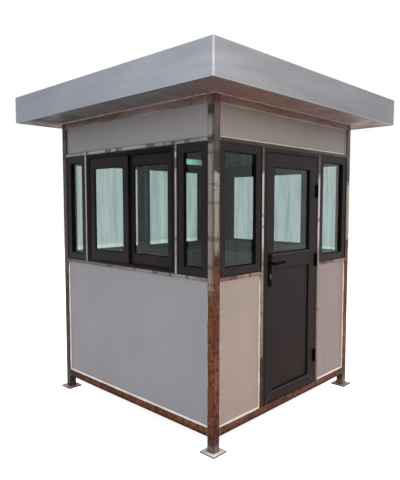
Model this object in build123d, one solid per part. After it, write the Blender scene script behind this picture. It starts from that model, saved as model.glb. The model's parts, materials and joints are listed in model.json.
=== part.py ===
from build123d import *
import os

# Security guard booth: a square steel tube frame on four feet, filled with sheet panels and
# windows, with a hung door in the front and a boxed roof that oversails all round.
# Millimetres, +Z up. The origin is on the ground at the middle of the plan. The door faces -Y.

# ---------------------------------------------------------------------------- driving sizes
# Tube frame
CABIN_WIDTH = 1850.0  # over the posts, along X
CABIN_DEPTH = 1850.0  # over the posts, along Y
POST_SIDE = 60.0  # square tube of the posts and of the bottom and top rails
SLIM_RAIL = 30.0  # narrow side of the sill rails, head rails and mullions
SLIM_DEPTH = 60.0  # deep side of the same tube
TUBE_CORNER = 4.0  # outside corner radius of all tube
FOOT_SIDE = 130.0
FOOT_THICKNESS = 8.0

# Levels
GROUND_GAP = 110.0  # from the ground to the underside of the bottom rails
SILL_LEVEL = 1205.0  # top of the sill rails
WINDOW_HEIGHT = 900.0  # from the sill rails to the head rails
UPPER_PANEL_HEIGHT = 220.0  # from the head rails to the top rails

# Openings along the walls
DOOR_OPENING = 760.0  # between the two door posts
SLIDER_OPENING = 1090.0  # between the mullions of a side wall

# Wall panels
PANEL_SETBACK = 14.0  # behind the outer face of the tubes
PANEL_THICKNESS = 40.0

# Floor, ceiling and roof
FLOOR_THICKNESS = 20.0
JOIST_WIDTH = 40.0
JOIST_COUNT = 3
CEILING_THICKNESS = 40.0
FASCIA_HEIGHT = 220.0  # from the soffit to the top of the roof
SIDE_OVERHANG = 302.0  # of the roof past the posts, along X
END_OVERHANG = 267.0  # of the roof past the posts, along Y
ROOF_SHEET = 3.0
FASCIA_TOP_LIP = 28.0  # folded in under the roof cover
FASCIA_BOTTOM_LIP = 18.0  # folded in under the edge of the soffit

# Fixed windows
FIXED_SETBACK = 6.0
FIXED_FACE = 38.0  # width of the frame's front member
FIXED_BEAD = 20.0  # width of the glazing bead inside it
FIXED_DEPTH = 48.0
BEAD_STEP = 1.5  # a glazing bead stands this far behind the front of its frame or sash
BEAD_SLOPE = 3.0  # bevel of the bead towards the glass
BEAD_LIP = 4.0  # of the frame or sash behind the glass

# Glass
GLASS_THICKNESS = 5.0
GLASS_SETBACK = 22.0  # behind the front of a fixed frame
GASKET = 0.3  # on each side of a sheet in its groove
GROOVE_DEPTH = 10.0
GLASS_EDGE_GAP = 1.0
ARRIS = 1.2  # bevel along the front edges of window and door sections

# Sliding windows
SLIDER_SETBACK = 4.0
SLIDER_DEPTH = 56.0
SLIDER_FACE = 34.0  # jambs and head of the outer frame
SLIDER_SILL = 10.0  # sill of the outer frame
SLIDER_LIP = 4.0  # thickness of the outer and inner track lips
SLIDER_LIP_HEIGHT = 10.0
SASH_GAP = 1.5  # between a sash and the frame, and between the two sashes
SASH_SEAT = 0.3  # between a sash and the sill that it slides on
SASH_DEPTH = 22.0
SASH_OVERLAP = 20.0  # of the two meeting stiles
SASH_STILE = 50.0
SASH_MEETING_STILE = 48.0
SASH_TOP_RAIL = 62.0
SASH_BOTTOM_RAIL = 72.0
SASH_BEAD = 20.0  # width of the glazing bead inside the stiles and rails

# Door
DOOR_SETBACK = 2.0
DOOR_FRAME_FACE = 28.0
DOOR_FRAME_DEPTH = 56.0
DOOR_STOP = 15.0  # width of the stop behind the leaf
DOOR_GAP = 5.0  # round the leaf
LEAF_THICKNESS = 40.0
LEAF_STILE = 88.0
LEAF_TOP_RAIL = 91.0
LEAF_MIDDLE_RAIL = 103.0
LEAF_BOTTOM_RAIL = 77.0
LEAF_PANEL_HEIGHT = 957.0
LEAF_PANEL_THICKNESS = 14.0
LEAF_BEAD = 12.0
LEAF_BEAD_STEP = 1.5
LEAF_BEAD_SLOPE = 2.5

# Hinges
HINGE_HEIGHT = 104.0
BOTTOM_HINGE_RISE = 231.0  # from the leaf's bottom edge to the hinge's middle
MIDDLE_HINGE_RISE = 18.0  # from the top of the leaf's panel
TOP_HINGE_DROP = 271.0  # from the leaf's top edge
HINGE_PLATE = 27.0  # from the pin's axis to the plate's edge
HINGE_PLATE_THICKNESS = 3.0
KNUCKLE_RADIUS = 9.0
KNUCKLE_FOOT = 15.0  # from the pin's axis to where a knuckle runs out into its plate
KNUCKLE_LIFT = 0.5  # the knuckles clear the door by this
PIN_RADIUS = 4.0
PIN_CLEARANCE = 0.3
KNUCKLE_GAP = 0.5  # between neighbouring knuckles

# Handle and lock
HANDLE_PLATE_WIDTH = 35.0
HANDLE_PLATE_HEIGHT = 250.0
HANDLE_PLATE_THICKNESS = 8.0
HANDLE_PLATE_LEVEL = 1200.0  # middle of the plates
LEVER_LEVEL = 1252.0
LEVER_LENGTH = 132.0  # from the spindle to the grip's end
LEVER_STANDOFF = 46.0  # from the plate to the middle of the grip
LEVER_GRIP_THICKNESS = 13.0
LEVER_ROOT_RADIUS = 11.0  # of the grip's outline, round the neck
LEVER_TIP_RADIUS = 8.0
LEVER_TIP_RISE = 4.0  # of the tip's middle over the spindle
LEVER_NECK_RADIUS = 9.0
SPINDLE_RADIUS = 5.0
SPINDLE_CLEARANCE = 1.0
NECK_CLEARANCE = 0.5
CYLINDER_LEVEL = 1160.0  # axis of the lock cylinder's round plug
CYLINDER_RADIUS = 8.5
CYLINDER_WEB = 10.0
CYLINDER_HEIGHT = 33.0
CYLINDER_PROUD = 3.0
CYLINDER_CLEARANCE = 0.3

# Lamp on the inside of the back wall, over the window
LAMP_LENGTH = 600.0
LAMP_HEIGHT = 56.0
LAMP_DEPTH = 40.0
LAMP_CORNER = 12.0
LAMP_END_GAP = 5.0  # from the corner post

# ------------------------------------------------------------------------- worked-out sizes
BOTTOM_RAIL_TOP = GROUND_GAP + POST_SIDE
SILL_RAIL_BOTTOM = SILL_LEVEL - SLIM_RAIL
HEAD_LEVEL = SILL_LEVEL + WINDOW_HEIGHT
HEAD_RAIL_TOP = HEAD_LEVEL + SLIM_RAIL
TOP_RAIL_BOTTOM = HEAD_RAIL_TOP + UPPER_PANEL_HEIGHT
EAVES = TOP_RAIL_BOTTOM + POST_SIDE
FRONT_SPAN = CABIN_WIDTH - 2 * POST_SIDE  # between the posts, along X
SIDE_SPAN = CABIN_DEPTH - 2 * POST_SIDE  # between the posts, along Y
ROOF_WIDTH = CABIN_WIDTH + 2 * SIDE_OVERHANG
ROOF_DEPTH = CABIN_DEPTH + 2 * END_OVERHANG
DOOR_POST_OUTER = DOOR_OPENING / 2 + SLIM_RAIL
MULLION_OUTER = SLIDER_OPENING / 2 + SLIM_RAIL
LEAF_HALF = DOOR_OPENING / 2 - DOOR_FRAME_FACE - DOOR_GAP
LEAF_BOTTOM = BOTTOM_RAIL_TOP + DOOR_GAP
LEAF_TOP = HEAD_LEVEL - DOOR_FRAME_FACE - DOOR_GAP
LEAF_BACK = DOOR_SETBACK + LEAF_THICKNESS
LEAF_PANEL_BOTTOM = LEAF_BOTTOM + LEAF_BOTTOM_RAIL
LEAF_PANEL_TOP = LEAF_PANEL_BOTTOM + LEAF_PANEL_HEIGHT
LEAF_GLASS_BOTTOM = LEAF_PANEL_TOP + LEAF_MIDDLE_RAIL
LEAF_GLASS_TOP = LEAF_TOP - LEAF_TOP_RAIL
HINGE_LEVELS = (
    LEAF_BOTTOM + BOTTOM_HINGE_RISE,
    LEAF_PANEL_TOP + MIDDLE_HINGE_RISE,
    LEAF_TOP - TOP_HINGE_DROP,
)
HINGE_AXIS_X = LEAF_HALF + DOOR_GAP / 2
HINGE_AXIS_Y = DOOR_SETBACK - KNUCKLE_LIFT - KNUCKLE_RADIUS
SPINDLE_X = LEAF_STILE / 2 - LEAF_HALF


# ---------------------------------------------------------------------------- basic solids
def block(x_span, y_span, z_span):
    """A box between two limits on each axis."""
    size = [span[1] - span[0] for span in (x_span, y_span, z_span)]
    low = [span[0] for span in (x_span, y_span, z_span)]
    return Pos(*low) * Box(*size, align=(Align.MIN, Align.MIN, Align.MIN))


def tube_between(start, width, depth, length, along):
    """A closed tube with rounded long edges: its section is width x depth about the start
    point, and it runs for length along X, Y or Z."""
    planes = {
        "x": Plane(start, x_dir=(0, 1, 0), z_dir=(1, 0, 0)),
        "y": Plane(start, x_dir=(1, 0, 0), z_dir=(0, 1, 0)),
        "z": Plane(start, x_dir=(1, 0, 0), z_dir=(0, 0, 1)),
    }
    section = planes[along] * RectangleRounded(width, depth, TUBE_CORNER)
    return extrude(section, amount=length)


def on_wall(wall, shape):
    """Carries a shape from the wall frame to its place. In the wall frame X runs to the right as
    seen from outside, Y runs inwards from the outer face of the tubes, and Z is the level."""
    turn = {"front": 0, "right": 90, "back": 180, "left": -90}[wall]
    reach = CABIN_DEPTH / 2 if wall in ("front", "back") else CABIN_WIDTH / 2
    return Rot(0, 0, turn) * Pos(0, -reach, 0) * shape


def ring(x_span, y_span, z_span, left, right, bottom, top):
    """A rectangular frame between the limits, with its four face widths."""
    outer = block(x_span, y_span, z_span)
    hole = block(
        (x_span[0] + left, x_span[1] - right),
        y_span,
        (z_span[0] + bottom, z_span[1] - top),
    )
    return outer - hole


def arrised(section):
    """The same piece with a small bevel round its outermost face, openings included."""
    return chamfer(section.faces().sort_by(Axis.Y)[0].edges(), ARRIS)


def bead_ring(x_span, y_span, z_span, width, slope):
    """A glazing bead round an opening, bevelled towards the glass."""
    bead = ring(x_span, y_span, z_span, width, width, width, width)
    front = bead.faces().sort_by(Axis.Y)[0]
    return chamfer(front.inner_wires()[0].edges(), slope)


def grown(x_span, z_span, margin):
    """The same rectangle, larger by the margin all round."""
    return (x_span[0] - margin, x_span[1] + margin), (z_span[0] - margin, z_span[1] + margin)


def pane(x_span, z_span, front, thickness):
    """A sheet whose edges stand in the groove of the frame round the clear opening."""
    wide, high = grown(x_span, z_span, GROOVE_DEPTH - GLASS_EDGE_GAP)
    return block(wide, (front, front + thickness), high)


def groove(x_span, z_span, front, thickness):
    """The cutter for the groove that holds such a sheet."""
    wide, high = grown(x_span, z_span, GROOVE_DEPTH)
    return block(wide, (front - GASKET, front + thickness + GASKET), high)


def save(name, *solids):
    """Writes one node's solids to one file."""
    pieces = [solid for shape in solids for solid in shape.solids()]
    node = pieces[0] if len(pieces) == 1 else Compound(children=pieces)
    node.label = name
    export_step(node, os.path.join("parts", name + ".step"))


# ------------------------------------------------------------------------------ tube frame
def post_places():
    """The plan position of each post's middle."""
    x = (CABIN_WIDTH - POST_SIDE) / 2
    y = (CABIN_DEPTH - POST_SIDE) / 2
    return [(side_x * x, side_y * y) for side_x in (-1, 1) for side_y in (-1, 1)]


def foot(place):
    """A square sheared plate under a post."""
    x, y = place
    half = FOOT_SIDE / 2
    return block((x - half, x + half), (y - half, y + half), (0, FOOT_THICKNESS))


def corner_post(place):
    """A post from its foot to the roof."""
    start = (*place, FOOT_THICKNESS)
    return tube_between(start, POST_SIDE, POST_SIDE, EAVES - FOOT_THICKNESS, "z")


def wall_span(wall):
    return FRONT_SPAN if wall in ("front", "back") else SIDE_SPAN


def rail(x_span, bottom, height, depth):
    """A level tube in the wall frame, flush with the wall's outer face."""
    start = (x_span[0], depth / 2, bottom + height / 2)
    return tube_between(start, depth, height, x_span[1] - x_span[0], "x")


def full_rail(wall, bottom, height, depth):
    half = wall_span(wall) / 2
    return on_wall(wall, rail((-half, half), bottom, height, depth))


def sill_rails():
    """The sill rails of three walls, and the two short ones beside the door."""
    half = FRONT_SPAN / 2
    shapes = [full_rail(wall, SILL_RAIL_BOTTOM, SLIM_RAIL, SLIM_DEPTH)
              for wall in ("left", "right", "back")]
    for x_span in ((-half, -DOOR_POST_OUTER), (DOOR_POST_OUTER, half)):
        shapes.append(on_wall("front", rail(x_span, SILL_RAIL_BOTTOM, SLIM_RAIL, SLIM_DEPTH)))
    return shapes


def upright(wall, x_middle, bottom, top):
    """An upright of slim tube in a wall."""
    start = (x_middle, SLIM_DEPTH / 2, bottom)
    return on_wall(wall, tube_between(start, SLIM_RAIL, SLIM_DEPTH, top - bottom, "z"))


def door_posts():
    x = DOOR_POST_OUTER - SLIM_RAIL / 2
    return [upright("front", side * x, BOTTOM_RAIL_TOP, HEAD_LEVEL) for side in (-1, 1)]


def mullions():
    """Two beside each sliding window, and one in the middle of the back."""
    x = MULLION_OUTER - SLIM_RAIL / 2
    shapes = [upright(wall, side * x, SILL_LEVEL, HEAD_LEVEL)
              for wall in ("left", "right") for side in (-1, 1)]
    shapes.append(upright("back", 0, SILL_LEVEL, HEAD_LEVEL))
    return shapes


# ---------------------------------------------------------------------------------- panels
def wall_panel(wall, x_span, bottom, top):
    """A sandwich panel that fills a bay between tubes, set back from their faces."""
    y_span = (PANEL_SETBACK, PANEL_SETBACK + PANEL_THICKNESS)
    return on_wall(wall, block(x_span, y_span, (bottom, top)))


def full_panel(wall, bottom, top):
    half = wall_span(wall) / 2
    return wall_panel(wall, (-half, half), bottom, top)


def front_lower_panels():
    half = FRONT_SPAN / 2
    spans = ((-half, -DOOR_POST_OUTER), (DOOR_POST_OUTER, half))
    return [wall_panel("front", span, BOTTOM_RAIL_TOP, SILL_RAIL_BOTTOM) for span in spans]


# --------------------------------------------------------------------------- fixed windows
def fixed_window(x_span):
    """The frame and the glass of a fixed window that fills a bay, in the wall frame."""
    z_span = (SILL_LEVEL, HEAD_LEVEL)
    back = FIXED_SETBACK + FIXED_DEPTH
    face = FIXED_FACE
    frame = arrised(ring(x_span, (FIXED_SETBACK, back), z_span, face, face, face, face))
    wide, high = grown(x_span, z_span, -face)
    glass_front = FIXED_SETBACK + GLASS_SETBACK
    bead_span = (FIXED_SETBACK + BEAD_STEP, glass_front + GLASS_THICKNESS + BEAD_LIP)
    bead = bead_ring(wide, bead_span, high, FIXED_BEAD, BEAD_SLOPE)
    wide, high = grown(wide, high, -FIXED_BEAD)
    frame = frame + bead - groove(wide, high, glass_front, GLASS_THICKNESS)
    return frame, pane(wide, high, glass_front, GLASS_THICKNESS)


def fixed_windows(wall, spans):
    """Frames and glass of several fixed windows in one wall."""
    pairs = [fixed_window(span) for span in spans]
    frames = [on_wall(wall, frame) for frame, glass in pairs]
    sheets = [on_wall(wall, glass) for frame, glass in pairs]
    return frames, sheets


def front_window_spans():
    half = FRONT_SPAN / 2
    return (-half, -DOOR_POST_OUTER), (DOOR_POST_OUTER, half)


def side_window_spans():
    half = SIDE_SPAN / 2
    return (-half, -MULLION_OUTER), (MULLION_OUTER, half)


def back_window_spans():
    half = FRONT_SPAN / 2
    return (-half, -SLIM_RAIL / 2), (SLIM_RAIL / 2, half)


# ------------------------------------------------------------------------- sliding windows
def slider_frame():
    """The outer frame with its two-track sill, in the wall frame."""
    x_span = (-SLIDER_OPENING / 2, SLIDER_OPENING / 2)
    back = SLIDER_SETBACK + SLIDER_DEPTH
    frame = ring(x_span, (SLIDER_SETBACK, back), (SILL_LEVEL, HEAD_LEVEL),
                 SLIDER_FACE, SLIDER_FACE, SLIDER_SILL, SLIDER_FACE)
    frame = arrised(frame)
    lip_top = SILL_LEVEL + SLIDER_SILL + SLIDER_LIP_HEIGHT
    for lip_front in (SLIDER_SETBACK, back - SLIDER_LIP):
        lip_span = (lip_front, lip_front + SLIDER_LIP)
        frame += block(x_span, lip_span, (SILL_LEVEL, lip_top))
    return frame


def sash(outer_side, is_outer):
    """One sliding sash and its glass, in the wall frame. The outer sash fills the half on its
    own side, and the inner one the other half."""
    side = outer_side if is_outer else -outer_side
    reach = SLIDER_OPENING / 2 - SLIDER_FACE - SASH_GAP
    x_span = sorted((side * reach, -side * SASH_OVERLAP / 2))
    front = SLIDER_SETBACK + SLIDER_LIP + SASH_GAP
    if not is_outer:
        front += SASH_DEPTH + SASH_GAP
    z_span = (SILL_LEVEL + SLIDER_SILL + SASH_SEAT, HEAD_LEVEL - SLIDER_FACE - SASH_GAP)
    left, right = (SASH_MEETING_STILE, SASH_STILE) if side > 0 else (SASH_STILE, SASH_MEETING_STILE)
    leaf = arrised(ring(x_span, (front, front + SASH_DEPTH), z_span,
                        left, right, SASH_BOTTOM_RAIL, SASH_TOP_RAIL))
    wide = (x_span[0] + left, x_span[1] - right)
    high = (z_span[0] + SASH_BOTTOM_RAIL, z_span[1] - SASH_TOP_RAIL)
    glass_front = front + (SASH_DEPTH - GLASS_THICKNESS) / 2
    bead_span = (front + BEAD_STEP, glass_front + GLASS_THICKNESS + BEAD_LIP)
    leaf += bead_ring(wide, bead_span, high, SASH_BEAD, BEAD_SLOPE)
    wide, high = grown(wide, high, -SASH_BEAD)
    leaf -= groove(wide, high, glass_front, GLASS_THICKNESS)
    return leaf, pane(wide, high, glass_front, GLASS_THICKNESS)


def side_wall_windows(wall, outer_side):
    """All window pieces of a side wall, by node name."""
    frames, sheets = fixed_windows(wall, side_window_spans())
    outer_leaf, outer_glass = sash(outer_side, True)
    inner_leaf, inner_glass = sash(outer_side, False)
    return {
        wall + "_fixed_window_frames": frames,
        wall + "_sliding_window_frame": [on_wall(wall, slider_frame())],
        wall + "_outer_sash": [on_wall(wall, outer_leaf)],
        wall + "_inner_sash": [on_wall(wall, inner_leaf)],
        wall + "_window_glass": sheets + [on_wall(wall, outer_glass), on_wall(wall, inner_glass)],
    }


# ------------------------------------------------------------------------------------ door
def door_frame():
    """Two jambs and a head with a stop behind the leaf, open at the floor."""
    half = DOOR_OPENING / 2
    back = DOOR_SETBACK + DOOR_FRAME_DEPTH
    face = DOOR_FRAME_FACE
    frame = ring((-half, half), (DOOR_SETBACK, back), (BOTTOM_RAIL_TOP, HEAD_LEVEL),
                 face, face, 0, face)
    frame = arrised(frame)
    stop = face + DOOR_STOP
    frame += ring((-half, half), (LEAF_BACK + DOOR_GAP, back), (BOTTOM_RAIL_TOP, HEAD_LEVEL),
                  stop, stop, 0, stop)
    return frame


def leaf_bays():
    """The clear glass and panel openings of the leaf, as spans in X and Z."""
    x_span = (LEAF_STILE - LEAF_HALF, LEAF_HALF - LEAF_STILE)
    glass = (x_span, (LEAF_GLASS_BOTTOM, LEAF_GLASS_TOP))
    panel = (x_span, (LEAF_PANEL_BOTTOM, LEAF_PANEL_TOP))
    return glass, panel


def door_leaf():
    """The leaf's stiles and rails, with stepped beads round both bays, grooves for what fills
    them, and the holes for the spindle and the lock cylinder."""
    y_span = (DOOR_SETBACK, LEAF_BACK)
    leaf = block((-LEAF_HALF, LEAF_HALF), y_span, (LEAF_BOTTOM, LEAF_TOP))
    for x_span, z_span in leaf_bays():
        leaf -= block(x_span, y_span, z_span)
    leaf = arrised(leaf)
    bead_span = (DOOR_SETBACK + LEAF_BEAD_STEP, LEAF_BACK - LEAF_BEAD_STEP)
    fillings = (GLASS_THICKNESS, LEAF_PANEL_THICKNESS)
    for (x_span, z_span), thickness in zip(leaf_bays(), fillings):
        leaf += bead_ring(x_span, bead_span, z_span, LEAF_BEAD, LEAF_BEAD_SLOPE)
        wide, high = grown(x_span, z_span, -LEAF_BEAD)
        leaf -= groove(wide, high, filling_front(thickness), thickness)
    hole = Pos(SPINDLE_X, 0, LEVER_LEVEL) * across(Circle(SPINDLE_RADIUS + SPINDLE_CLEARANCE))
    leaf -= hole
    leaf -= cylinder_prism(CYLINDER_CLEARANCE, 0, LEAF_BACK * 2)
    return leaf


def filling_front(thickness):
    return DOOR_SETBACK + (LEAF_THICKNESS - thickness) / 2


def across(sketch):
    """A sketch in X and Z, drawn through the leaf and the plates on both its faces."""
    face = Plane(origin=(0, -LEAF_BACK, 0), x_dir=(1, 0, 0), z_dir=(0, 1, 0)) * sketch
    return extrude(face, amount=4 * LEAF_BACK)


def door_filling(bay, thickness):
    x_span, z_span = bay
    wide, high = grown(x_span, z_span, -LEAF_BEAD)
    return pane(wide, high, filling_front(thickness), thickness)


def cylinder_prism(margin, front, back):
    """The keyhole-shaped lock cylinder, larger by the margin, between two depths."""
    plane = Plane(origin=(SPINDLE_X, front, CYLINDER_LEVEL), x_dir=(1, 0, 0), z_dir=(0, -1, 0))
    radius = CYLINDER_RADIUS + margin
    drop = CYLINDER_HEIGHT - CYLINDER_RADIUS
    web = Pos(0, -drop / 2) * Rectangle(CYLINDER_WEB + 2 * margin, drop + 2 * margin)
    return extrude(plane * (Circle(radius) + web), amount=front - back)


def handle_plates():
    """A long plate on each face of the leaf, pierced for the lever's neck and the lock."""
    shapes = []
    plane = Plane(origin=(SPINDLE_X, 0, HANDLE_PLATE_LEVEL), x_dir=(1, 0, 0), z_dir=(0, -1, 0))
    outline = RectangleRounded(HANDLE_PLATE_WIDTH, HANDLE_PLATE_HEIGHT, HANDLE_PLATE_WIDTH / 4)
    for front in (DOOR_SETBACK - HANDLE_PLATE_THICKNESS, LEAF_BACK):
        plate = Pos(0, front + HANDLE_PLATE_THICKNESS, 0) * extrude(plane * outline,
                                                                    HANDLE_PLATE_THICKNESS)
        neck_hole = Circle(LEVER_NECK_RADIUS + NECK_CLEARANCE)
        plate -= Pos(SPINDLE_X, 0, LEVER_LEVEL) * across(neck_hole)
        plate -= cylinder_prism(CYLINDER_CLEARANCE, -LEAF_BACK, 2 * LEAF_BACK)
        shapes.append(plate)
    return shapes


def lock_cylinder():
    front = DOOR_SETBACK - HANDLE_PLATE_THICKNESS - CYLINDER_PROUD
    back = LEAF_BACK + HANDLE_PLATE_THICKNESS + CYLINDER_PROUD
    return cylinder_prism(0, front, back)


def rod(centre_x, level, radius, front, back):
    """A round bar that runs inwards, between two depths."""
    plane = Plane(origin=(centre_x, front, level), x_dir=(1, 0, 0), z_dir=(0, 1, 0))
    return extrude(plane * Circle(radius), amount=back - front)


def door_lever():
    """Both levers on one spindle. Each has a round neck and a grip towards the hinges."""
    plate_front = DOOR_SETBACK - HANDLE_PLATE_THICKNESS
    plate_back = LEAF_BACK + HANDLE_PLATE_THICKNESS
    lever = rod(SPINDLE_X, LEVER_LEVEL, SPINDLE_RADIUS, plate_front, plate_back)
    outer_grip = plate_front - LEVER_STANDOFF
    inner_grip = plate_back + LEVER_STANDOFF
    lever += rod(SPINDLE_X, LEVER_LEVEL, LEVER_NECK_RADIUS, outer_grip, DOOR_SETBACK)
    lever += rod(SPINDLE_X, LEVER_LEVEL, LEVER_NECK_RADIUS, LEAF_BACK, inner_grip)
    tip = Pos(LEVER_LENGTH - LEVER_TIP_RADIUS, LEVER_TIP_RISE) * Circle(LEVER_TIP_RADIUS)
    outline = make_hull((Circle(LEVER_ROOT_RADIUS) + tip).edges())
    for middle in (outer_grip, inner_grip):
        start = (SPINDLE_X, middle + LEVER_GRIP_THICKNESS / 2, LEVER_LEVEL)
        plane = Plane(start, x_dir=(1, 0, 0), z_dir=(0, -1, 0))
        lever += extrude(plane * outline, amount=LEVER_GRIP_THICKNESS)
    return lever


# ---------------------------------------------------------------------------------- hinges
def knuckle(level_span, radius):
    plane = Plane((HINGE_AXIS_X, HINGE_AXIS_Y, level_span[0]))
    return extrude(plane * Circle(radius), amount=level_span[1] - level_span[0])


def footed_knuckle(level_span, side):
    """A knuckle with the cast foot that runs out into the plate on one side of the pin."""
    face = DOOR_SETBACK - HINGE_AXIS_Y
    foot_middle = (side * (KNUCKLE_RADIUS / 2 + KNUCKLE_FOOT) / 2, face - HINGE_PLATE_THICKNESS / 2)
    foot = Pos(*foot_middle) * Rectangle(KNUCKLE_FOOT - KNUCKLE_RADIUS / 2, HINGE_PLATE_THICKNESS)
    section = make_hull((Circle(KNUCKLE_RADIUS) + foot).edges())
    plane = Plane((HINGE_AXIS_X, HINGE_AXIS_Y, level_span[0]))
    return extrude(plane * section, amount=level_span[1] - level_span[0])


def hinge_halves(level):
    """The half on the frame, which carries the pin, and the half on the leaf."""
    third = HINGE_HEIGHT / 3
    low, high = level - HINGE_HEIGHT / 2, level + HINGE_HEIGHT / 2
    plate_y = (DOOR_SETBACK - HINGE_PLATE_THICKNESS, DOOR_SETBACK)
    inner, outer = KNUCKLE_RADIUS / 2, HINGE_PLATE
    middle = (low + third, high - third)
    clear_middle = (middle[0] - KNUCKLE_GAP, middle[1] + KNUCKLE_GAP)
    swept = KNUCKLE_RADIUS + KNUCKLE_GAP

    fixed = block((HINGE_AXIS_X + inner, HINGE_AXIS_X + outer), plate_y, (low, high))
    fixed -= knuckle(clear_middle, swept)
    fixed -= block((HINGE_AXIS_X, HINGE_AXIS_X + swept), plate_y, clear_middle)
    fixed += footed_knuckle((low, clear_middle[0]), 1)
    fixed += footed_knuckle((clear_middle[1], high), 1)
    fixed += knuckle((low, high), PIN_RADIUS)

    moving = block((HINGE_AXIS_X - outer, HINGE_AXIS_X - inner), plate_y, (low, high))
    for end in ((low, middle[0]), (middle[1], high)):
        moving -= block((HINGE_AXIS_X - swept, HINGE_AXIS_X), plate_y, end)
    moving += footed_knuckle(middle, -1)
    moving -= knuckle((low, high), PIN_RADIUS + PIN_CLEARANCE)
    return fixed, moving


# -------------------------------------------------------------------------- floor and roof
def floor_deck():
    return block((-FRONT_SPAN / 2, FRONT_SPAN / 2), (-SIDE_SPAN / 2, SIDE_SPAN / 2),
                 (BOTTOM_RAIL_TOP - FLOOR_THICKNESS, BOTTOM_RAIL_TOP))


def floor_joists():
    """Bars under the deck, from the front bottom rail to the back one."""
    pitch = FRONT_SPAN / (JOIST_COUNT + 1)
    middles = [pitch * (i + 1) - FRONT_SPAN / 2 for i in range(JOIST_COUNT)]
    y_span = (-SIDE_SPAN / 2, SIDE_SPAN / 2)
    z_span = (GROUND_GAP, BOTTOM_RAIL_TOP - FLOOR_THICKNESS)
    return [block((x - JOIST_WIDTH / 2, x + JOIST_WIDTH / 2), y_span, z_span) for x in middles]


def ceiling_panel():
    return block((-FRONT_SPAN / 2, FRONT_SPAN / 2), (-SIDE_SPAN / 2, SIDE_SPAN / 2),
                 (EAVES - CEILING_THICKNESS, EAVES))


def roof_soffit():
    """The flat sheet that closes the roof box from below, laid in the fascia's bottom lips."""
    x, y = ROOF_WIDTH / 2 - ROOF_SHEET, ROOF_DEPTH / 2 - ROOF_SHEET
    return block((-x, x), (-y, y), (EAVES, EAVES + ROOF_SHEET))


def roof_cover():
    """The flat top sheet, laid on the top lips of the fascia."""
    x, y = ROOF_WIDTH / 2, ROOF_DEPTH / 2
    top = EAVES + FASCIA_HEIGHT
    return block((-x, x), (-y, y), (top - ROOF_SHEET, top))


def fascia(wall):
    """One side of the roof box: an upright sheet with a lip folded in along its top and its
    bottom, mitred at both ends."""
    ends = wall in ("front", "back")
    half = (ROOF_WIDTH if ends else ROOF_DEPTH) / 2
    out = END_OVERHANG if ends else SIDE_OVERHANG
    bottom = EAVES - ROOF_SHEET
    top = EAVES + FASCIA_HEIGHT - ROOF_SHEET
    sheet = mitred_strip(half, -out, ROOF_SHEET, bottom, top)
    top_lip = mitred_strip(half, -out, FASCIA_TOP_LIP, top - ROOF_SHEET, top)
    bottom_lip = mitred_strip(half, -out, FASCIA_BOTTOM_LIP, bottom, EAVES)
    return on_wall(wall, sheet + top_lip + bottom_lip)


def mitred_strip(half, front, width, bottom, top):
    """A strip in the wall frame, longest along its front edge, cut at 45 degrees at its ends."""
    outline = Polygon((-half, front), (half, front),
                      (half - width, front + width), (width - half, front + width), align=None)
    return extrude(Pos(0, 0, bottom) * outline, amount=top - bottom)


# ------------------------------------------------------------------------------------ lamp
def wall_lamp():
    """A short tube lamp with a rounded cover, on the inside of the back wall. It sits on the
    head rail and against the upper panel, beside the right-hand back post."""
    right = FRONT_SPAN / 2 - LAMP_END_GAP
    panel_face = CABIN_DEPTH / 2 - PANEL_SETBACK - PANEL_THICKNESS
    plane = Plane((right, panel_face, HEAD_RAIL_TOP), x_dir=(0, -1, 0), z_dir=(-1, 0, 0))
    section = Rectangle(LAMP_DEPTH, LAMP_HEIGHT, align=(Align.MIN, Align.MIN))
    room_side = section.vertices().sort_by(Axis.X)[-2:]
    section = fillet(room_side, LAMP_CORNER)
    return extrude(plane * section, amount=LAMP_LENGTH)


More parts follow.
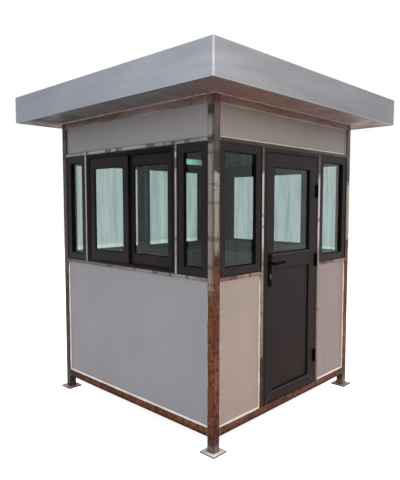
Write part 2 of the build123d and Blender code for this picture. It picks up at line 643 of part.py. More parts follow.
# ------------------------------------------------------------------------------------ build
def main():
    os.makedirs("parts", exist_ok=True)
    walls = ("front", "back", "left", "right")
    places = post_places()

    save("base_plates", *[foot(place) for place in places])
    save("corner_posts", *[corner_post(place) for place in places])
    for wall in walls:
        save(wall + "_upper_panel", full_panel(wall, HEAD_RAIL_TOP, TOP_RAIL_BOTTOM))
        save(wall + "_fascia", fascia(wall))
    save("bottom_rails", *[full_rail(wall, GROUND_GAP, POST_SIDE, POST_SIDE) for wall in walls])
    save("sill_rails", *sill_rails())
    save("head_rails", *[full_rail(wall, HEAD_LEVEL, SLIM_RAIL, SLIM_DEPTH) for wall in walls])
    save("top_rails", *[full_rail(wall, TOP_RAIL_BOTTOM, POST_SIDE, POST_SIDE) for wall in walls])
    save("door_posts", *door_posts())
    save("window_mullions", *mullions())

    save("front_lower_panels", *front_lower_panels())
    for wall in ("left", "right", "back"):
        save(wall + "_lower_panel", full_panel(wall, BOTTOM_RAIL_TOP, SILL_RAIL_BOTTOM))

    for wall, spans in (("front", front_window_spans()), ("back", back_window_spans())):
        frames, sheets = fixed_windows(wall, spans)
        save(wall + "_window_frames", *frames)
        save(wall + "_window_glass", *sheets)
    for wall, outer_side in (("left", -1), ("right", 1)):
        for name, shapes in side_wall_windows(wall, outer_side).items():
            save(name, *shapes)

    glass_bay, panel_bay = leaf_bays()
    save("door_frame", on_wall("front", door_frame()))
    save("door_leaf", on_wall("front", door_leaf()))
    save("door_glass", on_wall("front", door_filling(glass_bay, GLASS_THICKNESS)))
    save("door_lower_panel", on_wall("front", door_filling(panel_bay, LEAF_PANEL_THICKNESS)))
    save("door_handle_plates", *[on_wall("front", plate) for plate in handle_plates()])
    save("door_lever", on_wall("front", door_lever()))
    save("door_lock_cylinder", on_wall("front", lock_cylinder()))
    halves = [hinge_halves(level) for level in HINGE_LEVELS]
    save("hinge_frame_halves", *[on_wall("front", fixed) for fixed, moving in halves])
    save("hinge_leaf_halves", *[on_wall("front", moving) for fixed, moving in halves])

    save("floor_deck", floor_deck())
    save("floor_joists", *floor_joists())
    save("ceiling_panel", ceiling_panel())
    save("roof_soffit", roof_soffit())
    save("roof_cover", roof_cover())
    save("wall_lamp", wall_lamp())


main()
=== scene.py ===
"""Looks of a square steel-framed guard booth: its finishes, trim, light and camera.

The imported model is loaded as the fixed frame. Lengths are in metres, in the model's own frame:
+Z is up and the door is in the -Y wall. Colours are written as 0-255 screen values.
"""

import json
import logging
import math
from dataclasses import dataclass, replace
from enum import Enum
from functools import cached_property

import bpy
import numpy as np
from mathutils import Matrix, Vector

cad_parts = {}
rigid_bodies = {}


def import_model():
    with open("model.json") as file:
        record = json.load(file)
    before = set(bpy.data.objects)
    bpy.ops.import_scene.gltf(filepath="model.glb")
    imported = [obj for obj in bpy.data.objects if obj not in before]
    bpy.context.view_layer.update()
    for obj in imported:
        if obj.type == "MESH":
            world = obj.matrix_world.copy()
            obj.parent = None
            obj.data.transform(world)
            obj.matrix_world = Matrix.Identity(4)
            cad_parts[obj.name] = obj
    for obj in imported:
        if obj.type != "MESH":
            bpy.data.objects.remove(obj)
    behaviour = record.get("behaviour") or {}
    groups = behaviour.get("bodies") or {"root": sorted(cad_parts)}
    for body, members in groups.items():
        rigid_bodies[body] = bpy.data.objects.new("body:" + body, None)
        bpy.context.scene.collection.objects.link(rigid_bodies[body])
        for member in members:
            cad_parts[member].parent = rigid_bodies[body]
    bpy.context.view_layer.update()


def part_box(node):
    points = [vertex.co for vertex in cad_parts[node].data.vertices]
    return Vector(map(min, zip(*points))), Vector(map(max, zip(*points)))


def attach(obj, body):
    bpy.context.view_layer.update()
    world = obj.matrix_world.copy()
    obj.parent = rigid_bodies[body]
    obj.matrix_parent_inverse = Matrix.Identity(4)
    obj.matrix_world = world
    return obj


log = logging.getLogger("guard_booth")

SINK = 0.0015  # how far a bead's hidden side reaches into what it lies on
UP = np.array([0.0, 0.0, 1.0])

Colour = tuple[float, float, float]
Tones = tuple[Colour, Colour, Colour]
Stops = tuple[tuple[float, Colour], ...]
Shell = tuple[np.ndarray, list[list[int]]]
Box = tuple[np.ndarray, np.ndarray]

WHITE: Colour = (255, 255, 255)
CORNER_SHADE: Colour = (50, 43, 39)  # painted shade along the edges of the posts and across their faces
FRONT_FACE = (0.4, 0.6)  # how squarely a face looks along Y where its front tones take over
PATCHES = (0.3, 0.7)  # noise from its darkest to its palest patches


# ------------------------------------------------------------------------------ named options
class Wall(Enum):
    """The four walls, each by its outward direction and the direction to its right as seen
    from outside."""

    FRONT = ((0.0, -1.0, 0.0), (1.0, 0.0, 0.0))
    BACK = ((0.0, 1.0, 0.0), (-1.0, 0.0, 0.0))
    LEFT = ((-1.0, 0.0, 0.0), (0.0, -1.0, 0.0))
    RIGHT = ((1.0, 0.0, 0.0), (0.0, 1.0, 0.0))

    @property
    def outward(self) -> np.ndarray:
        """Unit vector out of the booth."""
        return np.array(self.value[0])

    @property
    def right(self) -> np.ndarray:
        """Unit vector to the right along the wall."""
        return np.array(self.value[1])

    @property
    def slides(self) -> bool:
        """Whether the wall has the sliding windows."""
        return self in (Wall.LEFT, Wall.RIGHT)

    def node(self, part: str) -> str:
        """The model's name for a part of this wall."""
        return f"{self.name.lower()}_{part}"

    @property
    def low_panels(self) -> str:
        """The node of the panels under the windows."""
        return self.node("lower_panels" if self is Wall.FRONT else "lower_panel")

    @property
    def fixed_frames(self) -> str:
        """The node of the frames of the fixed windows."""
        return self.node("fixed_window_frames" if self.slides else "window_frames")


class Grain(Enum):
    """How a pattern is stretched: the scale of its coordinates along X, Y and Z."""

    UPRIGHT = (1.0, 1.0, 0.12)
    LEVEL = (0.14, 0.14, 1.0)
    EVEN = (1.0, 1.0, 1.0)


class Face(Enum):
    """Which side of a pane or plate a bead lies on: the sign along the wall's outward way."""

    OUTER = 1.0
    INNER = -1.0


# ------------------------------------------------------------------------------ node recipes
def linear(colour: Colour) -> tuple[float, float, float, float]:
    """A 0-255 screen colour as the linear light that nodes work in.

    Args:
        colour: red, green and blue, 0 to 255.

    Returns:
        Linear red, green and blue with an alpha of 1. Formula: ((c + 0.055) / 1.055) ** 2.4
        above the straight part, c / 12.92 on it.
    """
    part = np.array(colour) / 255.0
    curve = np.where(part <= 0.04045, part / 12.92, ((part + 0.055) / 1.055) ** 2.4)
    return (*map(float, curve), 1.0)


class Signal:
    """A number or a colour on its way through a recipe's nodes. A sum on it adds a node."""

    def __init__(self, recipe: "Recipe", socket: bpy.types.NodeSocket) -> None:
        """Follows one output socket of a recipe."""
        self.recipe, self.socket = recipe, socket

    def maths(self, operation: str, other: "Signal | float" = 0.0) -> "Signal":
        """The result of one sum on this number and another."""
        return self.recipe.take("ShaderNodeMath", {0: self, 1: other}, operation=operation)

    def __add__(self, other: "Signal | float") -> "Signal":
        """This number plus another."""
        return self.maths("ADD", other)

    def __sub__(self, other: "Signal | float") -> "Signal":
        """This number less another."""
        return self.maths("SUBTRACT", other)

    def __mul__(self, other: "Signal | float") -> "Signal":
        """This number times another."""
        return self.maths("MULTIPLY", other)

    def __truediv__(self, other: "Signal | float") -> "Signal":
        """This number over another."""
        return self.maths("DIVIDE", other)

    def __abs__(self) -> "Signal":
        """This number without its sign."""
        return self.maths("ABSOLUTE")

    def most(self, other: "Signal | float") -> "Signal":
        """The larger of this number and another."""
        return self.maths("MAXIMUM", other)

    def fade(self, start: float, end: float) -> "Signal":
        """A smooth rise from 0 at start to 1 at end, or a fall where end is the lower one."""
        return self.recipe.take("ShaderNodeMapRange", {
            "Value": self, "From Min": start, "From Max": end}, interpolation_type="SMOOTHSTEP")

    def between(self, low: float, high: float) -> "Signal":
        """A number from low, where this is 0, to high, where it is 1."""
        return self.recipe.take("ShaderNodeMapRange", {
            "Value": self, "To Min": low, "To Max": high})

    def ramp(self, stops: Stops) -> "Signal":
        """A colour that runs through the stops as this number rises.

        Args:
            stops: where each colour lies, and the colour, at least two of them.

        Returns:
            The colour.
        """
        node = self.recipe.add("ShaderNodeValToRGB", {"Fac": self})
        elements = node.color_ramp.elements
        for _ in stops[2:]:
            elements.new(1.0)
        for element, (position, colour) in zip(elements, stops):
            element.position = position
            element.color = linear(colour)
        return Signal(self.recipe, node.outputs["Color"])

    def whitened(self, dark: Colour, start: float, end: float) -> "Signal":
        """A colour from dark, where this number is at start, to white at end."""
        return self.ramp(((start, dark), (end, WHITE)))

    def blend(self, share: "Signal | float", other: "Signal | Colour") -> "Signal":
        """This colour with another mixed in by share."""
        return self.recipe.blend(share, self, other)

    def stain(self, share: float, other: "Signal | Colour") -> "Signal":
        """This colour multiplied by another, by share."""
        return self.recipe.blend(share, self, other, "MULTIPLY")

    def dents(self, depth: float) -> "Signal":
        """A surface normal dented by this number, up to depth in metres."""
        return self.recipe.take("ShaderNodeBump", {
            "Height": self, "Strength": 1.0, "Distance": depth})


class Recipe:
    """A node material, or the world, while it is being written."""

    def __init__(self, owner: bpy.types.Material | bpy.types.World) -> None:
        """Empties the node tree of its owner.

        Args:
            owner: the material or world that is written.
        """
        owner.use_nodes = True
        self.tree = owner.node_tree
        self.tree.nodes.clear()

    @cached_property
    def place(self) -> bpy.types.NodeSocket:
        """The object coordinates."""
        return self.add("ShaderNodeTexCoord").outputs["Object"]

    def add(self, kind: str, inputs: dict | None = None, **settings: object) -> bpy.types.Node:
        """Adds a node.

        Args:
            kind: the node's type.
            inputs: signals, sockets or plain values by input name or number.
            settings: the node's own properties.

        Returns:
            The new node.
        """
        node = self.tree.nodes.new(kind)
        for key, value in settings.items():
            setattr(node, key, value)
        for key, value in (inputs or {}).items():
            value = value.socket if isinstance(value, Signal) else value
            if isinstance(value, bpy.types.NodeSocket):
                self.tree.links.new(value, node.inputs[key])
            else:
                node.inputs[key].default_value = value
        return node

    def take(self, kind: str, inputs: dict | None = None, output: int | str = 0,
             **settings: object) -> Signal:
        """Adds a node as add does, and follows one of its outputs."""
        return Signal(self, self.add(kind, inputs, **settings).outputs[output])

    def noise(self, size: float, grain: Grain = Grain.EVEN, detail: float = 3.0,
              seed: float = 0.0) -> Signal:
        """Cloudy noise whose patches are about size across, stretched by the grain.

        Args:
            size: the patches' width in metres.
            grain: the way they are stretched.
            detail: how many finer layers it has.
            seed: shifts the pattern, so that two finishes differ.

        Returns:
            The noise, about 0.25 to 0.75.
        """
        scale = tuple(part / size for part in grain.value)
        vector = self.take("ShaderNodeMapping", {
            "Vector": self.place, "Scale": scale, "Location": (seed, seed * 1.7, seed * 0.6)})
        return self.take("ShaderNodeTexNoise", {
            "Vector": vector, "Scale": 1.0, "Detail": detail, "Roughness": 0.55}, "Fac")

    def axis(self, name: str) -> Signal:
        """One of the object coordinates, X, Y or Z."""
        return self.take("ShaderNodeSeparateXYZ", {0: self.place}, name)

    def off(self, name: str, middle: float) -> Signal:
        """How far a place is from middle, or from its mirror image, along X or Y."""
        return abs(abs(self.axis(name)) - middle)

    def facing(self, name: str) -> Signal:
        """How squarely the surface faces along X, Y or Z, 0 to 1, either way round."""
        normal = self.take("ShaderNodeTexCoord", output="Normal")
        return abs(self.take("ShaderNodeSeparateXYZ", {0: normal}, name))

    def blend(self, share: Signal | float, first: Signal | Colour, second: Signal | Colour,
              mode: str = "MIX") -> Signal:
        """Two colours mixed.

        Args:
            share: how much of the second one, 0 to 1.
            first: a colour.
            second: the colour that goes over it.
            mode: one of Blender's blend modes.

        Returns:
            The mixed colour.
        """
        colours = [linear(c) if isinstance(c, tuple) else c for c in (first, second)]
        return self.take("ShaderNodeMix", {0: share, 6: colours[0], 7: colours[1]}, 2,
                         data_type="RGBA", blend_type=mode)

    def shader(self, colour: Signal, roughness: Signal | float, metallic: float = 0.0,
               gloss: float = 0.5, dents: Signal | None = None,
               extra: dict | None = None) -> bpy.types.NodeSocket:
        """The usual shader of a surface.

        Args:
            colour: base colour.
            roughness: 0 for a mirror, 1 for chalk.
            metallic: 0 for paint, 1 for bare metal.
            gloss: the strength of its mirror, 0.5 for most stuffs.
            dents: its normal, where it isn't smooth.
            extra: other inputs by name.

        Returns:
            The shader's output.
        """
        inputs = {"Base Color": colour, "Roughness": roughness, "Metallic": metallic,
                  "Specular IOR Level": gloss, **({"Normal": dents} if dents else {}),
                  **(extra or {})}
        return self.add("ShaderNodeBsdfPrincipled", inputs).outputs[0]

    def strokes(self, grain: Grain, size: float = 0.003, depth: float = 0.00008) -> Signal:
        """A normal dented by the fine strokes that rolling leaves in sheet."""
        return self.noise(size, grain, 2.0).dents(depth)

    def output(self, shader: bpy.types.NodeSocket, kind: str = "Material") -> None:
        """Ends the recipe in a shader."""
        self.add("ShaderNodeOutput" + kind, {"Surface": shader})

    def surface(self, *inputs: object, **more: object) -> None:
        """Ends the recipe in the usual shader, with the inputs that shader takes."""
        self.output(self.shader(*inputs, **more))

    def seen(self, through_glass: float = 1.0) -> Signal:
        """Which rays show a thing, and don't just carry its light.

        Args:
            through_glass: the value for those that show it through glass.

        Returns:
            1 for rays from the camera or off gloss, that value through glass, else 0.
        """
        paths = self.add("ShaderNodeLightPath").outputs
        camera, glossy, through = (Signal(self, paths[f"Is {kind} Ray"])
                                   for kind in ("Camera", "Glossy", "Transmission"))
        return camera.most(glossy).most(through * through_glass)


# ------------------------------------------------------------------------------ finishes
@dataclass(frozen=True)
class Finish:
    """What a surface is made of. Each kind writes its node material once, by name."""

    name: str

    def write(self, recipe: Recipe) -> None:
        """Fills the recipe with the finish's nodes."""
        raise NotImplementedError

    def material(self) -> bpy.types.Material:
        """Finds or makes the finish's material.

        Returns:
            The material, which is written the first time that it is asked for.
        """
        known = bpy.data.materials.get(self.name)
        if known is None:
            known = bpy.data.materials.new(self.name)
            self.write(Recipe(known))
        return known


@dataclass(frozen=True)
class TubeFinish(Finish):
    """Bare polished square tube. Strongly coloured tones are brown, painted in as the polished
    steel's reflection of brown ground. There they are mottled in fine dark and pale specks with
    pink painted highlights, and lose their gloss."""

    seed: float = 0.0
    gloss: float = 0.12
    metallic: float = 0.35
    roughness: tuple[float, float] = (0.32, 0.65)
    reflection_head: float = 2.2
    reflection_fall: float = 0.1
    reflection_strength: tuple[float, float] = (0.45, 0.62)  # strength of colour that is painted brown reflection
    speck_size: float = 0.04
    speck_share: float = 0.9
    specks: Stops = ((0.34, (156, 126, 110)), (0.48, (240, 230, 222)), (0.62, (255, 252, 248)))
    pink_highlight_size: float = 0.03
    pink_highlight_share: float = 0.5
    pink_highlight_span: tuple[float, float] = (0.6, 0.7)
    pink_highlight: Colour = (190, 124, 100)
    pit_size: float = 0.004
    pit_depth: float = 0.0004

    def write(self, recipe: Recipe) -> None:
        """The tube's own tone, then the specks and pink painted highlights of its painted brown
        reflection, and a fine pitting over all of it.

        Args:
            recipe: the recipe of its material.
        """
        tone = self.tone(recipe)
        strength = recipe.take("ShaderNodeSeparateColor", {0: tone}, 1, mode="HSV")
        # painted reflection of brown ground: strongly coloured tones below the head are mottled
        # and dulled
        under_head = recipe.axis("Z").fade(self.reflection_head + self.reflection_fall, self.reflection_head)
        brown_reflection = strength.fade(*self.reflection_strength) * under_head
        specks = recipe.noise(self.speck_size, detail=5.0, seed=self.seed).ramp(self.specks)
        # pink painted highlights in the painted brown reflection
        pink_highlight = recipe.noise(self.pink_highlight_size, seed=self.seed + 40.0).fade(*self.pink_highlight_span)
        mottled = tone.stain(self.speck_share, specks).blend(pink_highlight * self.pink_highlight_share, self.pink_highlight)
        pits = recipe.noise(self.pit_size, detail=2.0).dents(self.pit_depth)
        recipe.surface(tone.blend(brown_reflection, mottled), brown_reflection.between(*self.roughness), self.metallic,
                       self.gloss, pits)

    def tone(self, recipe: Recipe) -> Signal:
        """The tube's colour before its painted brown reflection is mottled."""
        raise NotImplementedError


@dataclass(frozen=True, kw_only=True)
class UprightFinish(TubeFinish):
    """Tube stood on end and toned by level, from its foot to its head. One set of tones is for the
    faces that look along X and one for those that look along Y, which paints the different light
    on each face. Brown low down is painted reflection of brown ground, and dark under the eaves is
    painted shade. The tones' edges are ragged, dark bands of painted reflection cross the tube and
    scratches run along it. The posts towards the back are painted darker as a painted dark
    reflection, and the outer corners have painted shade. The left one of a pair may have a painted
    brown foot of its own, and each face of a tube may have painted shade towards one side."""

    side: Stops
    front: Stops
    head: float = 2.415
    waver: float = 0.09
    waver_size: float = 0.05
    scratch: Colour = (180, 176, 172)
    scratch_share: float = 0.5
    scratch_size: float = 0.014
    scratch_span: tuple[float, float] = (0.36, 0.56)
    # dark bands of painted reflection across the tube
    bands: float = 0.6
    band: Colour = (72, 62, 56)
    band_size: float = 0.055
    band_span: tuple[float, float] = (0.59, 0.65)
    # painted dark reflection on the posts towards the back
    back_shade: float = 0.0
    back: Colour = (38, 36, 35)
    back_span: tuple[float, float] = (0.6, 0.88)
    # painted shade along the posts' outer corners
    rim_shade: float = 0.0
    rim_span: tuple[float, float] = (0.018, 0.028)
    middle: float = 0.895
    # painted brown reflection on the foot of the left one of a pair
    left: Colour = (80, 56, 46)
    left_head: float = 0.0
    left_fall: float = 0.04
    left_span: tuple[float, float] = (0.1, -0.1)
    # painted shade across each face towards one side, higher up
    lean: tuple[float, float] = (0.0, 0.0)
    lean_levels: tuple[float, float] = (1.0, 1.3)
    lean_spans: tuple[tuple[float, float], tuple[float, float]] = ((-0.004, 0.02), (0.01, -0.018))

    def leaned(self, recipe: Recipe, level: Signal, side: Signal,
               front: Signal) -> tuple[Signal, Signal]:
        """The tones with painted shade on one side of each face, higher up.

        Args:
            recipe: the recipe.
            level: the ragged level.
            side: tone of the faces that look along X.
            front: tone of the faces that look along Y.

        Returns:
            The two tones. Each is shaded by how far the place is from the tube's middle.
        """
        high = level.fade(*self.lean_levels)
        leaned = []
        for tone, name, span, lean in zip((side, front), "YX", self.lean_spans, self.lean):
            shade = abs(recipe.axis(name)).fade(*(self.middle + edge for edge in span))
            leaned.append(tone.blend(shade * (high * lean), CORNER_SHADE))
        return leaned[0], leaned[1]

    def tone(self, recipe: Recipe) -> Signal:
        """Tones by level, then scratches, bands of painted reflection, the painted brown left
        foot, the painted dark back and the painted shade at the arrises.

        Args:
            recipe: the recipe of its material.

        Returns:
            The colour.
        """
        wander = recipe.noise(self.waver_size, detail=4.0, seed=self.seed) - 0.5
        level = recipe.axis("Z") + wander * self.waver
        share = level / self.head
        side, front = (share.ramp([(stop / self.head, tone) for stop, tone in stops])
                       for stops in (self.side, self.front))
        # painted shade across each face towards one side
        if max(self.lean) > 0:
            side, front = self.leaned(recipe, level, side, front)
        tone = side.blend(recipe.facing("Y").fade(*FRONT_FACE), front)
        scratch = recipe.noise(self.scratch_size, Grain.UPRIGHT, 4.0, self.seed)
        tone = tone.stain(self.scratch_share, scratch.whitened(self.scratch,
                                                               *self.scratch_span))
        # dark bands of painted reflection
        band = recipe.noise(self.band_size, Grain.LEVEL, 2.0, self.seed + 5.0)
        tone = tone.blend(band.fade(*self.band_span) * self.bands, self.band)
        # painted brown reflection on the left post's foot
        under_head = level.fade(self.left_head, self.left_head - self.left_fall)
        tone = tone.blend(recipe.axis("X").fade(*self.left_span) * under_head, self.left)
        # painted dark reflection on the posts towards the back
        tone = tone.blend(recipe.axis("Y").fade(*self.back_span) * self.back_shade, self.back)
        # painted shade along the outer corners
        if self.rim_shade > 0:
            across, along = (recipe.off(name, self.middle) for name in "XY")
            rim = across.maths("MINIMUM", along).fade(*self.rim_span)
            tone = tone.blend(rim * self.rim_shade, CORNER_SHADE)
        return tone


@dataclass(frozen=True, kw_only=True)
class RailFinish(TubeFinish):
    """Tube laid level: three tones blotched along it, one set for the faces that look along X and
    one for those that look along Y, which paint the different light and reflection on each face.
    Short dark dashes cross it, with painted shade towards its rims and towards the back."""

    side: Tones
    front: Tones
    blotch_size: float = 0.06
    blotches: tuple[float, float, float] = (0.36, 0.48, 0.62)
    dash_and_shade: Colour = (66, 54, 56)
    dashes: float = 0.9
    dash_size: float = 0.06
    dash_from: float = 0.58
    dash_edge: float = 0.04
    # painted shade towards the back
    far: float = 0.0
    far_span: tuple[float, float] = (-0.5, 1.0)
    middle: float = 0.14
    half: float = 0.03
    # painted shade towards the rims above and below
    rim: float = 0.0
    rim_span: tuple[float, float] = (0.4, 0.9)  # in shares of half

    def tone(self, recipe: Recipe) -> Signal:
        """Blotches from dark to pale, then painted shade on the rims above and below and towards
        the back, then the dashes.

        Args:
            recipe: the recipe of its material.

        Returns:
            The colour.
        """
        blotch = recipe.noise(self.blotch_size, Grain.LEVEL, 4.0, self.seed)
        side, front = (blotch.ramp(tuple(zip(self.blotches, tones)))
                       for tones in (self.side, self.front))
        tone = side.blend(recipe.facing("Y").fade(*FRONT_FACE), front)
        rim = abs(recipe.axis("Z") - self.middle).fade(
            *(share * self.half for share in self.rim_span))
        # painted shade towards the rims
        tone = tone.blend(rim * self.rim, self.dash_and_shade)
        # painted shade towards the back
        tone = tone.blend(recipe.axis("Y").fade(*self.far_span) * self.far, self.dash_and_shade)
        dash_and_shade = recipe.noise(self.dash_size, Grain.UPRIGHT, seed=self.seed + 5.0).fade(
            self.dash_from, self.dash_from + self.dash_edge)
        return tone.blend(dash_and_shade * self.dashes, self.dash_and_shade)


@dataclass(frozen=True)
class PlateFinish(Finish):
    """Sheared foot plate: bright on top, rubbed steel with a painted highlight. It has brown
    stains under the front left post and copper-brown under the others, painted shade on its side
    faces, and dark along its burred rim."""

    bright: Colour = (255, 251, 246)
    stain: Colour = (232, 224, 214)
    copper: Colour = (148, 104, 90)
    burr: Colour = (70, 62, 58)
    painted_side_shade: Colour = (26, 21, 20)
    middle: float = 0.895
    half: float = 0.07
    stain_size: float = 0.05
    stain_span: tuple[float, float] = (0.46, 0.66)
    top_span: tuple[float, float] = (0.4, 0.8)
    other_posts: tuple[float, float] = (-0.1, 0.1)
    other_share: float = 0.8
    rim_span: tuple[float, float] = (0.88, 0.94)  # in shares of half
    rim_share: float = 0.8
    scratch_size: float = 0.005
    scratch_depth: float = 0.0003

    def write(self, recipe: Recipe) -> None:
        """Stains by noise on the faces that look up, painted shade on the others.

        Args:
            recipe: the recipe of its material.
        """
        stain = recipe.noise(self.stain_size, detail=4.0, seed=3.0).fade(*self.stain_span)
        top = recipe.blend(stain, self.bright, self.stain)
        other = recipe.axis("X").fade(*self.other_posts).most(
            recipe.axis("Y").fade(*self.other_posts))
        top = top.blend(other * self.other_share, self.copper)
        rim = recipe.off("X", self.middle).most(recipe.off("Y", self.middle)).fade(
            *(share * self.half for share in self.rim_span))
        top = top.blend(rim * self.rim_share, self.burr)
        # painted highlight on the faces that look up, painted shade on the side faces
        tone = recipe.blend(recipe.facing("Z").fade(*self.top_span), self.painted_side_shade, top)
        scratches = recipe.noise(self.scratch_size, detail=2.0).dents(self.scratch_depth)
        recipe.surface(tone, stain.fade(2.2, -0.6), 0.15, 0.3, scratches)


@dataclass(frozen=True)
class SheetFinish(Finish):
    """Rolled sheet with a slow change of tone from foot to head, painted shade that darkens it
    along the wall, faint upright streaks and clouds."""

    low: Colour
    high: Colour
    foot: float
    head: float
    far: Colour
    along: str = "X"
    streaks: float = 0.03
    streak: Colour = (120, 118, 116)
    streak_size: float = 0.05
    clouds: float = 0.12
    cloud: Colour = (205, 200, 196)
    cloud_size: float = 0.6
    cloud_span: tuple[float, float] = (0.35, 0.65)
    far_span: tuple[float, float] = (-0.5, 0.6)
    roughness: float = 0.42
    metallic: float = 0.2
    seed: float = 0.0

    def write(self, recipe: Recipe) -> None:
        """Tone by level, then streaks, clouds and a fine grain.

        Args:
            recipe: the recipe of its material.
        """
        tone = recipe.blend(recipe.axis("Z").fade(self.foot, self.head), self.low, self.high)
        # painted shade along the wall
        share = recipe.axis(self.along).fade(*self.far_span)
        tone = tone.blend(share, tone.stain(1.0, self.far))
        streak = recipe.noise(self.streak_size, Grain.UPRIGHT, seed=self.seed).whitened(
            self.streak, *PATCHES)
        cloud = recipe.noise(self.cloud_size, detail=2.0, seed=self.seed + 3.0)
        tone = tone.stain(self.streaks, streak)
        tone = tone.stain(self.clouds, cloud.whitened(self.cloud, *self.cloud_span))
        recipe.surface(tone, streak.between(self.roughness + 0.1, self.roughness),
                       self.metallic, dents=recipe.strokes(Grain.UPRIGHT))


@dataclass(frozen=True)
class FoldedSheetFinish(Finish):
    """Silver sheet of a fascia: its tone changes along its length, broad slanting painted
    reflections cross it, its folds at the foot and both ends carry painted highlights, and the lip
    turned in under its foot has painted shade."""

    along: str
    near: Colour
    far: Colour
    # painted shade on the lip under the foot
    lip: Colour
    foot_highlight: float
    half: float = 0.0  # both are taken from the model
    foot: float = 0.0
    # colour of the painted highlights and reflections
    bright: Colour = (222, 214, 214)
    grain: Colour = (216, 214, 212)
    fold: float = 0.006
    slant: float = 0.8
    ripple: float = 0.25
    waves: float = 9.0
    wave_share: float = 0.03
    grain_size: float = 0.12
    grain_share: float = 0.25
    end_highlight: float = 0.7

    def write(self, recipe: Recipe) -> None:
        """Tone by length, slanting bands of painted reflection, painted highlights on the folds,
        then painted shade on the lip, which is what faces up or down at the foot.

        Args:
            recipe: the recipe of its material.
        """
        length, level = recipe.axis(self.along), recipe.axis("Z")
        tone = recipe.blend(length.fade(-self.half, self.half), self.near, self.far)
        slant = length * self.slant + level + recipe.noise(0.5) * self.ripple
        wave = (slant * self.waves).maths("SINE").fade(0.3, 1.0)
        tone = tone.blend(wave * self.wave_share, self.bright)
        grain = recipe.noise(self.grain_size, Grain.LEVEL, 4.0, 2.0).whitened(self.grain, *PATCHES)
        tone = tone.stain(self.grain_share, grain)
        # painted highlights along the end and foot folds
        end = abs(length).fade(self.half - 2 * self.fold, self.half - self.fold) * self.end_highlight
        edge = level.fade(self.foot + 1.6 * self.fold, self.foot + 0.4 * self.fold) * self.foot_highlight
        tone = tone.blend(end.most(edge), self.bright)
        # painted shade on the lip
        lip = recipe.facing("Z").fade(0.5, 0.8) * level.fade(self.foot + 2 * self.fold,
                                                            self.foot + self.fold)
        tone = tone.blend(lip, self.lip)
        recipe.surface(tone, grain.fade(1.6, 0.2), 0.25, dents=recipe.strokes(Grain.LEVEL))


@dataclass(frozen=True)
class SoffitFinish(Finish):
    """The dulled sheet under the roof, toned with painted reflection and shade. It is grey along
    the sliding-window sides, with painted shade there towards the back. Along the door side and
    the back it is red-brown, a painted reflection of brown ground, greyer there towards +X. Brown
    clouds lie over it."""

    side: Colour = (116, 110, 113)
    front: Colour = (148, 115, 104)
    front_end: Colour = (158, 138, 136)
    front_span: tuple[float, float] = (-0.9, 1.0)
    corner: Colour = (122, 98, 90)
    corner_end: Colour = (176, 162, 158)
    corner_span: tuple[float, float] = (0.6, 1.1)
    turns: tuple[float, float, float] = (-0.4, 0.1, 0.6)  # from side to corner to front
    ripple: float = 0.2
    ripple_size: float = 0.3
    # painted shade towards the back of the sliding-window sides
    rear: Colour = (40, 33, 32)
    rear_spans: tuple[tuple[float, float], tuple[float, float]] = ((0.0, 1.1), (0.85, 1.0))
    rear_share: float = 0.78
    cloud: Colour = (190, 180, 172)
    cloud_size: float = 0.25
    cloud_share: float = 0.5

    def write(self, recipe: Recipe) -> None:
        """Two tones of painted reflection by which side is nearer, with the corners between them.

        Args:
            recipe: the recipe of its material.
        """
        right, deep = recipe.axis("X"), recipe.axis("Y")
        across = abs(right)
        lean = abs(deep) - across + recipe.noise(self.ripple_size) * self.ripple
        front = recipe.blend(right.fade(*self.front_span), self.front, self.front_end)
        corner = recipe.blend(right.fade(*self.corner_span), self.corner, self.corner_end)
        tone = recipe.blend(lean.fade(*self.turns[:2]), self.side, corner)
        tone = tone.blend(lean.fade(*self.turns[1:]), front)
        # painted shade towards the back
        depth_span, width_span = self.rear_spans
        rear = deep.fade(*depth_span) * across.fade(*width_span) * self.rear_share
        cloud = recipe.noise(self.cloud_size, detail=4.0, seed=7.0).whitened(self.cloud, *PATCHES)
        tone = tone.blend(rear, self.rear).stain(self.cloud_share, cloud)
        recipe.surface(tone, cloud.fade(1.5, 0.2), 0.1, 0.15, recipe.noise(0.004).dents(0.0001))


@dataclass(frozen=True)
class CoatFinish(Finish):
    """Dark powder coat with a fine orange peel, chalky where rain leaves dust and rubbed a little
    paler in patches. It may turn to another tone higher up, which on the window frames and sashes
    is painted shade."""

    colour: Colour
    pale: Colour
    roughness: float = 0.36
    gloss: float = 0.08
    seed: float = 0.0
    # a darker tone higher up is painted shade on the window frames and sashes
    high: Colour = (0, 0, 0)
    high_share: float = 0.0
    levels: tuple[float, float] = (1.3, 2.0)
    patch_size: float = 0.22
    patch_span: tuple[float, float] = (0.42, 0.78)
    speck: Colour = (206, 204, 203)
    speck_size: float = 0.006
    speck_span: tuple[float, float] = (0.35, 0.6)
    speck_share: float = 0.6
    peel_size: float = 0.0025
    peel_depth: float = 0.00006

    def write(self, recipe: Recipe) -> None:
        """Colour with soft chalky patches and a turn by level (painted shade on the window frames
        and sashes), over a fine peel.

        Args:
            recipe: the recipe of its material.
        """
        patch = recipe.noise(self.patch_size, Grain.UPRIGHT, 4.0, self.seed)
        tone = recipe.blend(patch.fade(*self.patch_span), self.colour, self.pale)
        tone = tone.blend(recipe.axis("Z").fade(*self.levels) * self.high_share, self.high)
        speck = recipe.noise(self.speck_size, seed=self.seed).whitened(self.speck,
                                                                       *self.speck_span)
        peel = recipe.noise(self.peel_size, detail=1.0).dents(self.peel_depth)
        recipe.surface(tone.stain(self.speck_share, speck),
                       patch.between(self.roughness - 0.08, self.roughness + 0.14),
                       gloss=self.gloss, dents=peel)


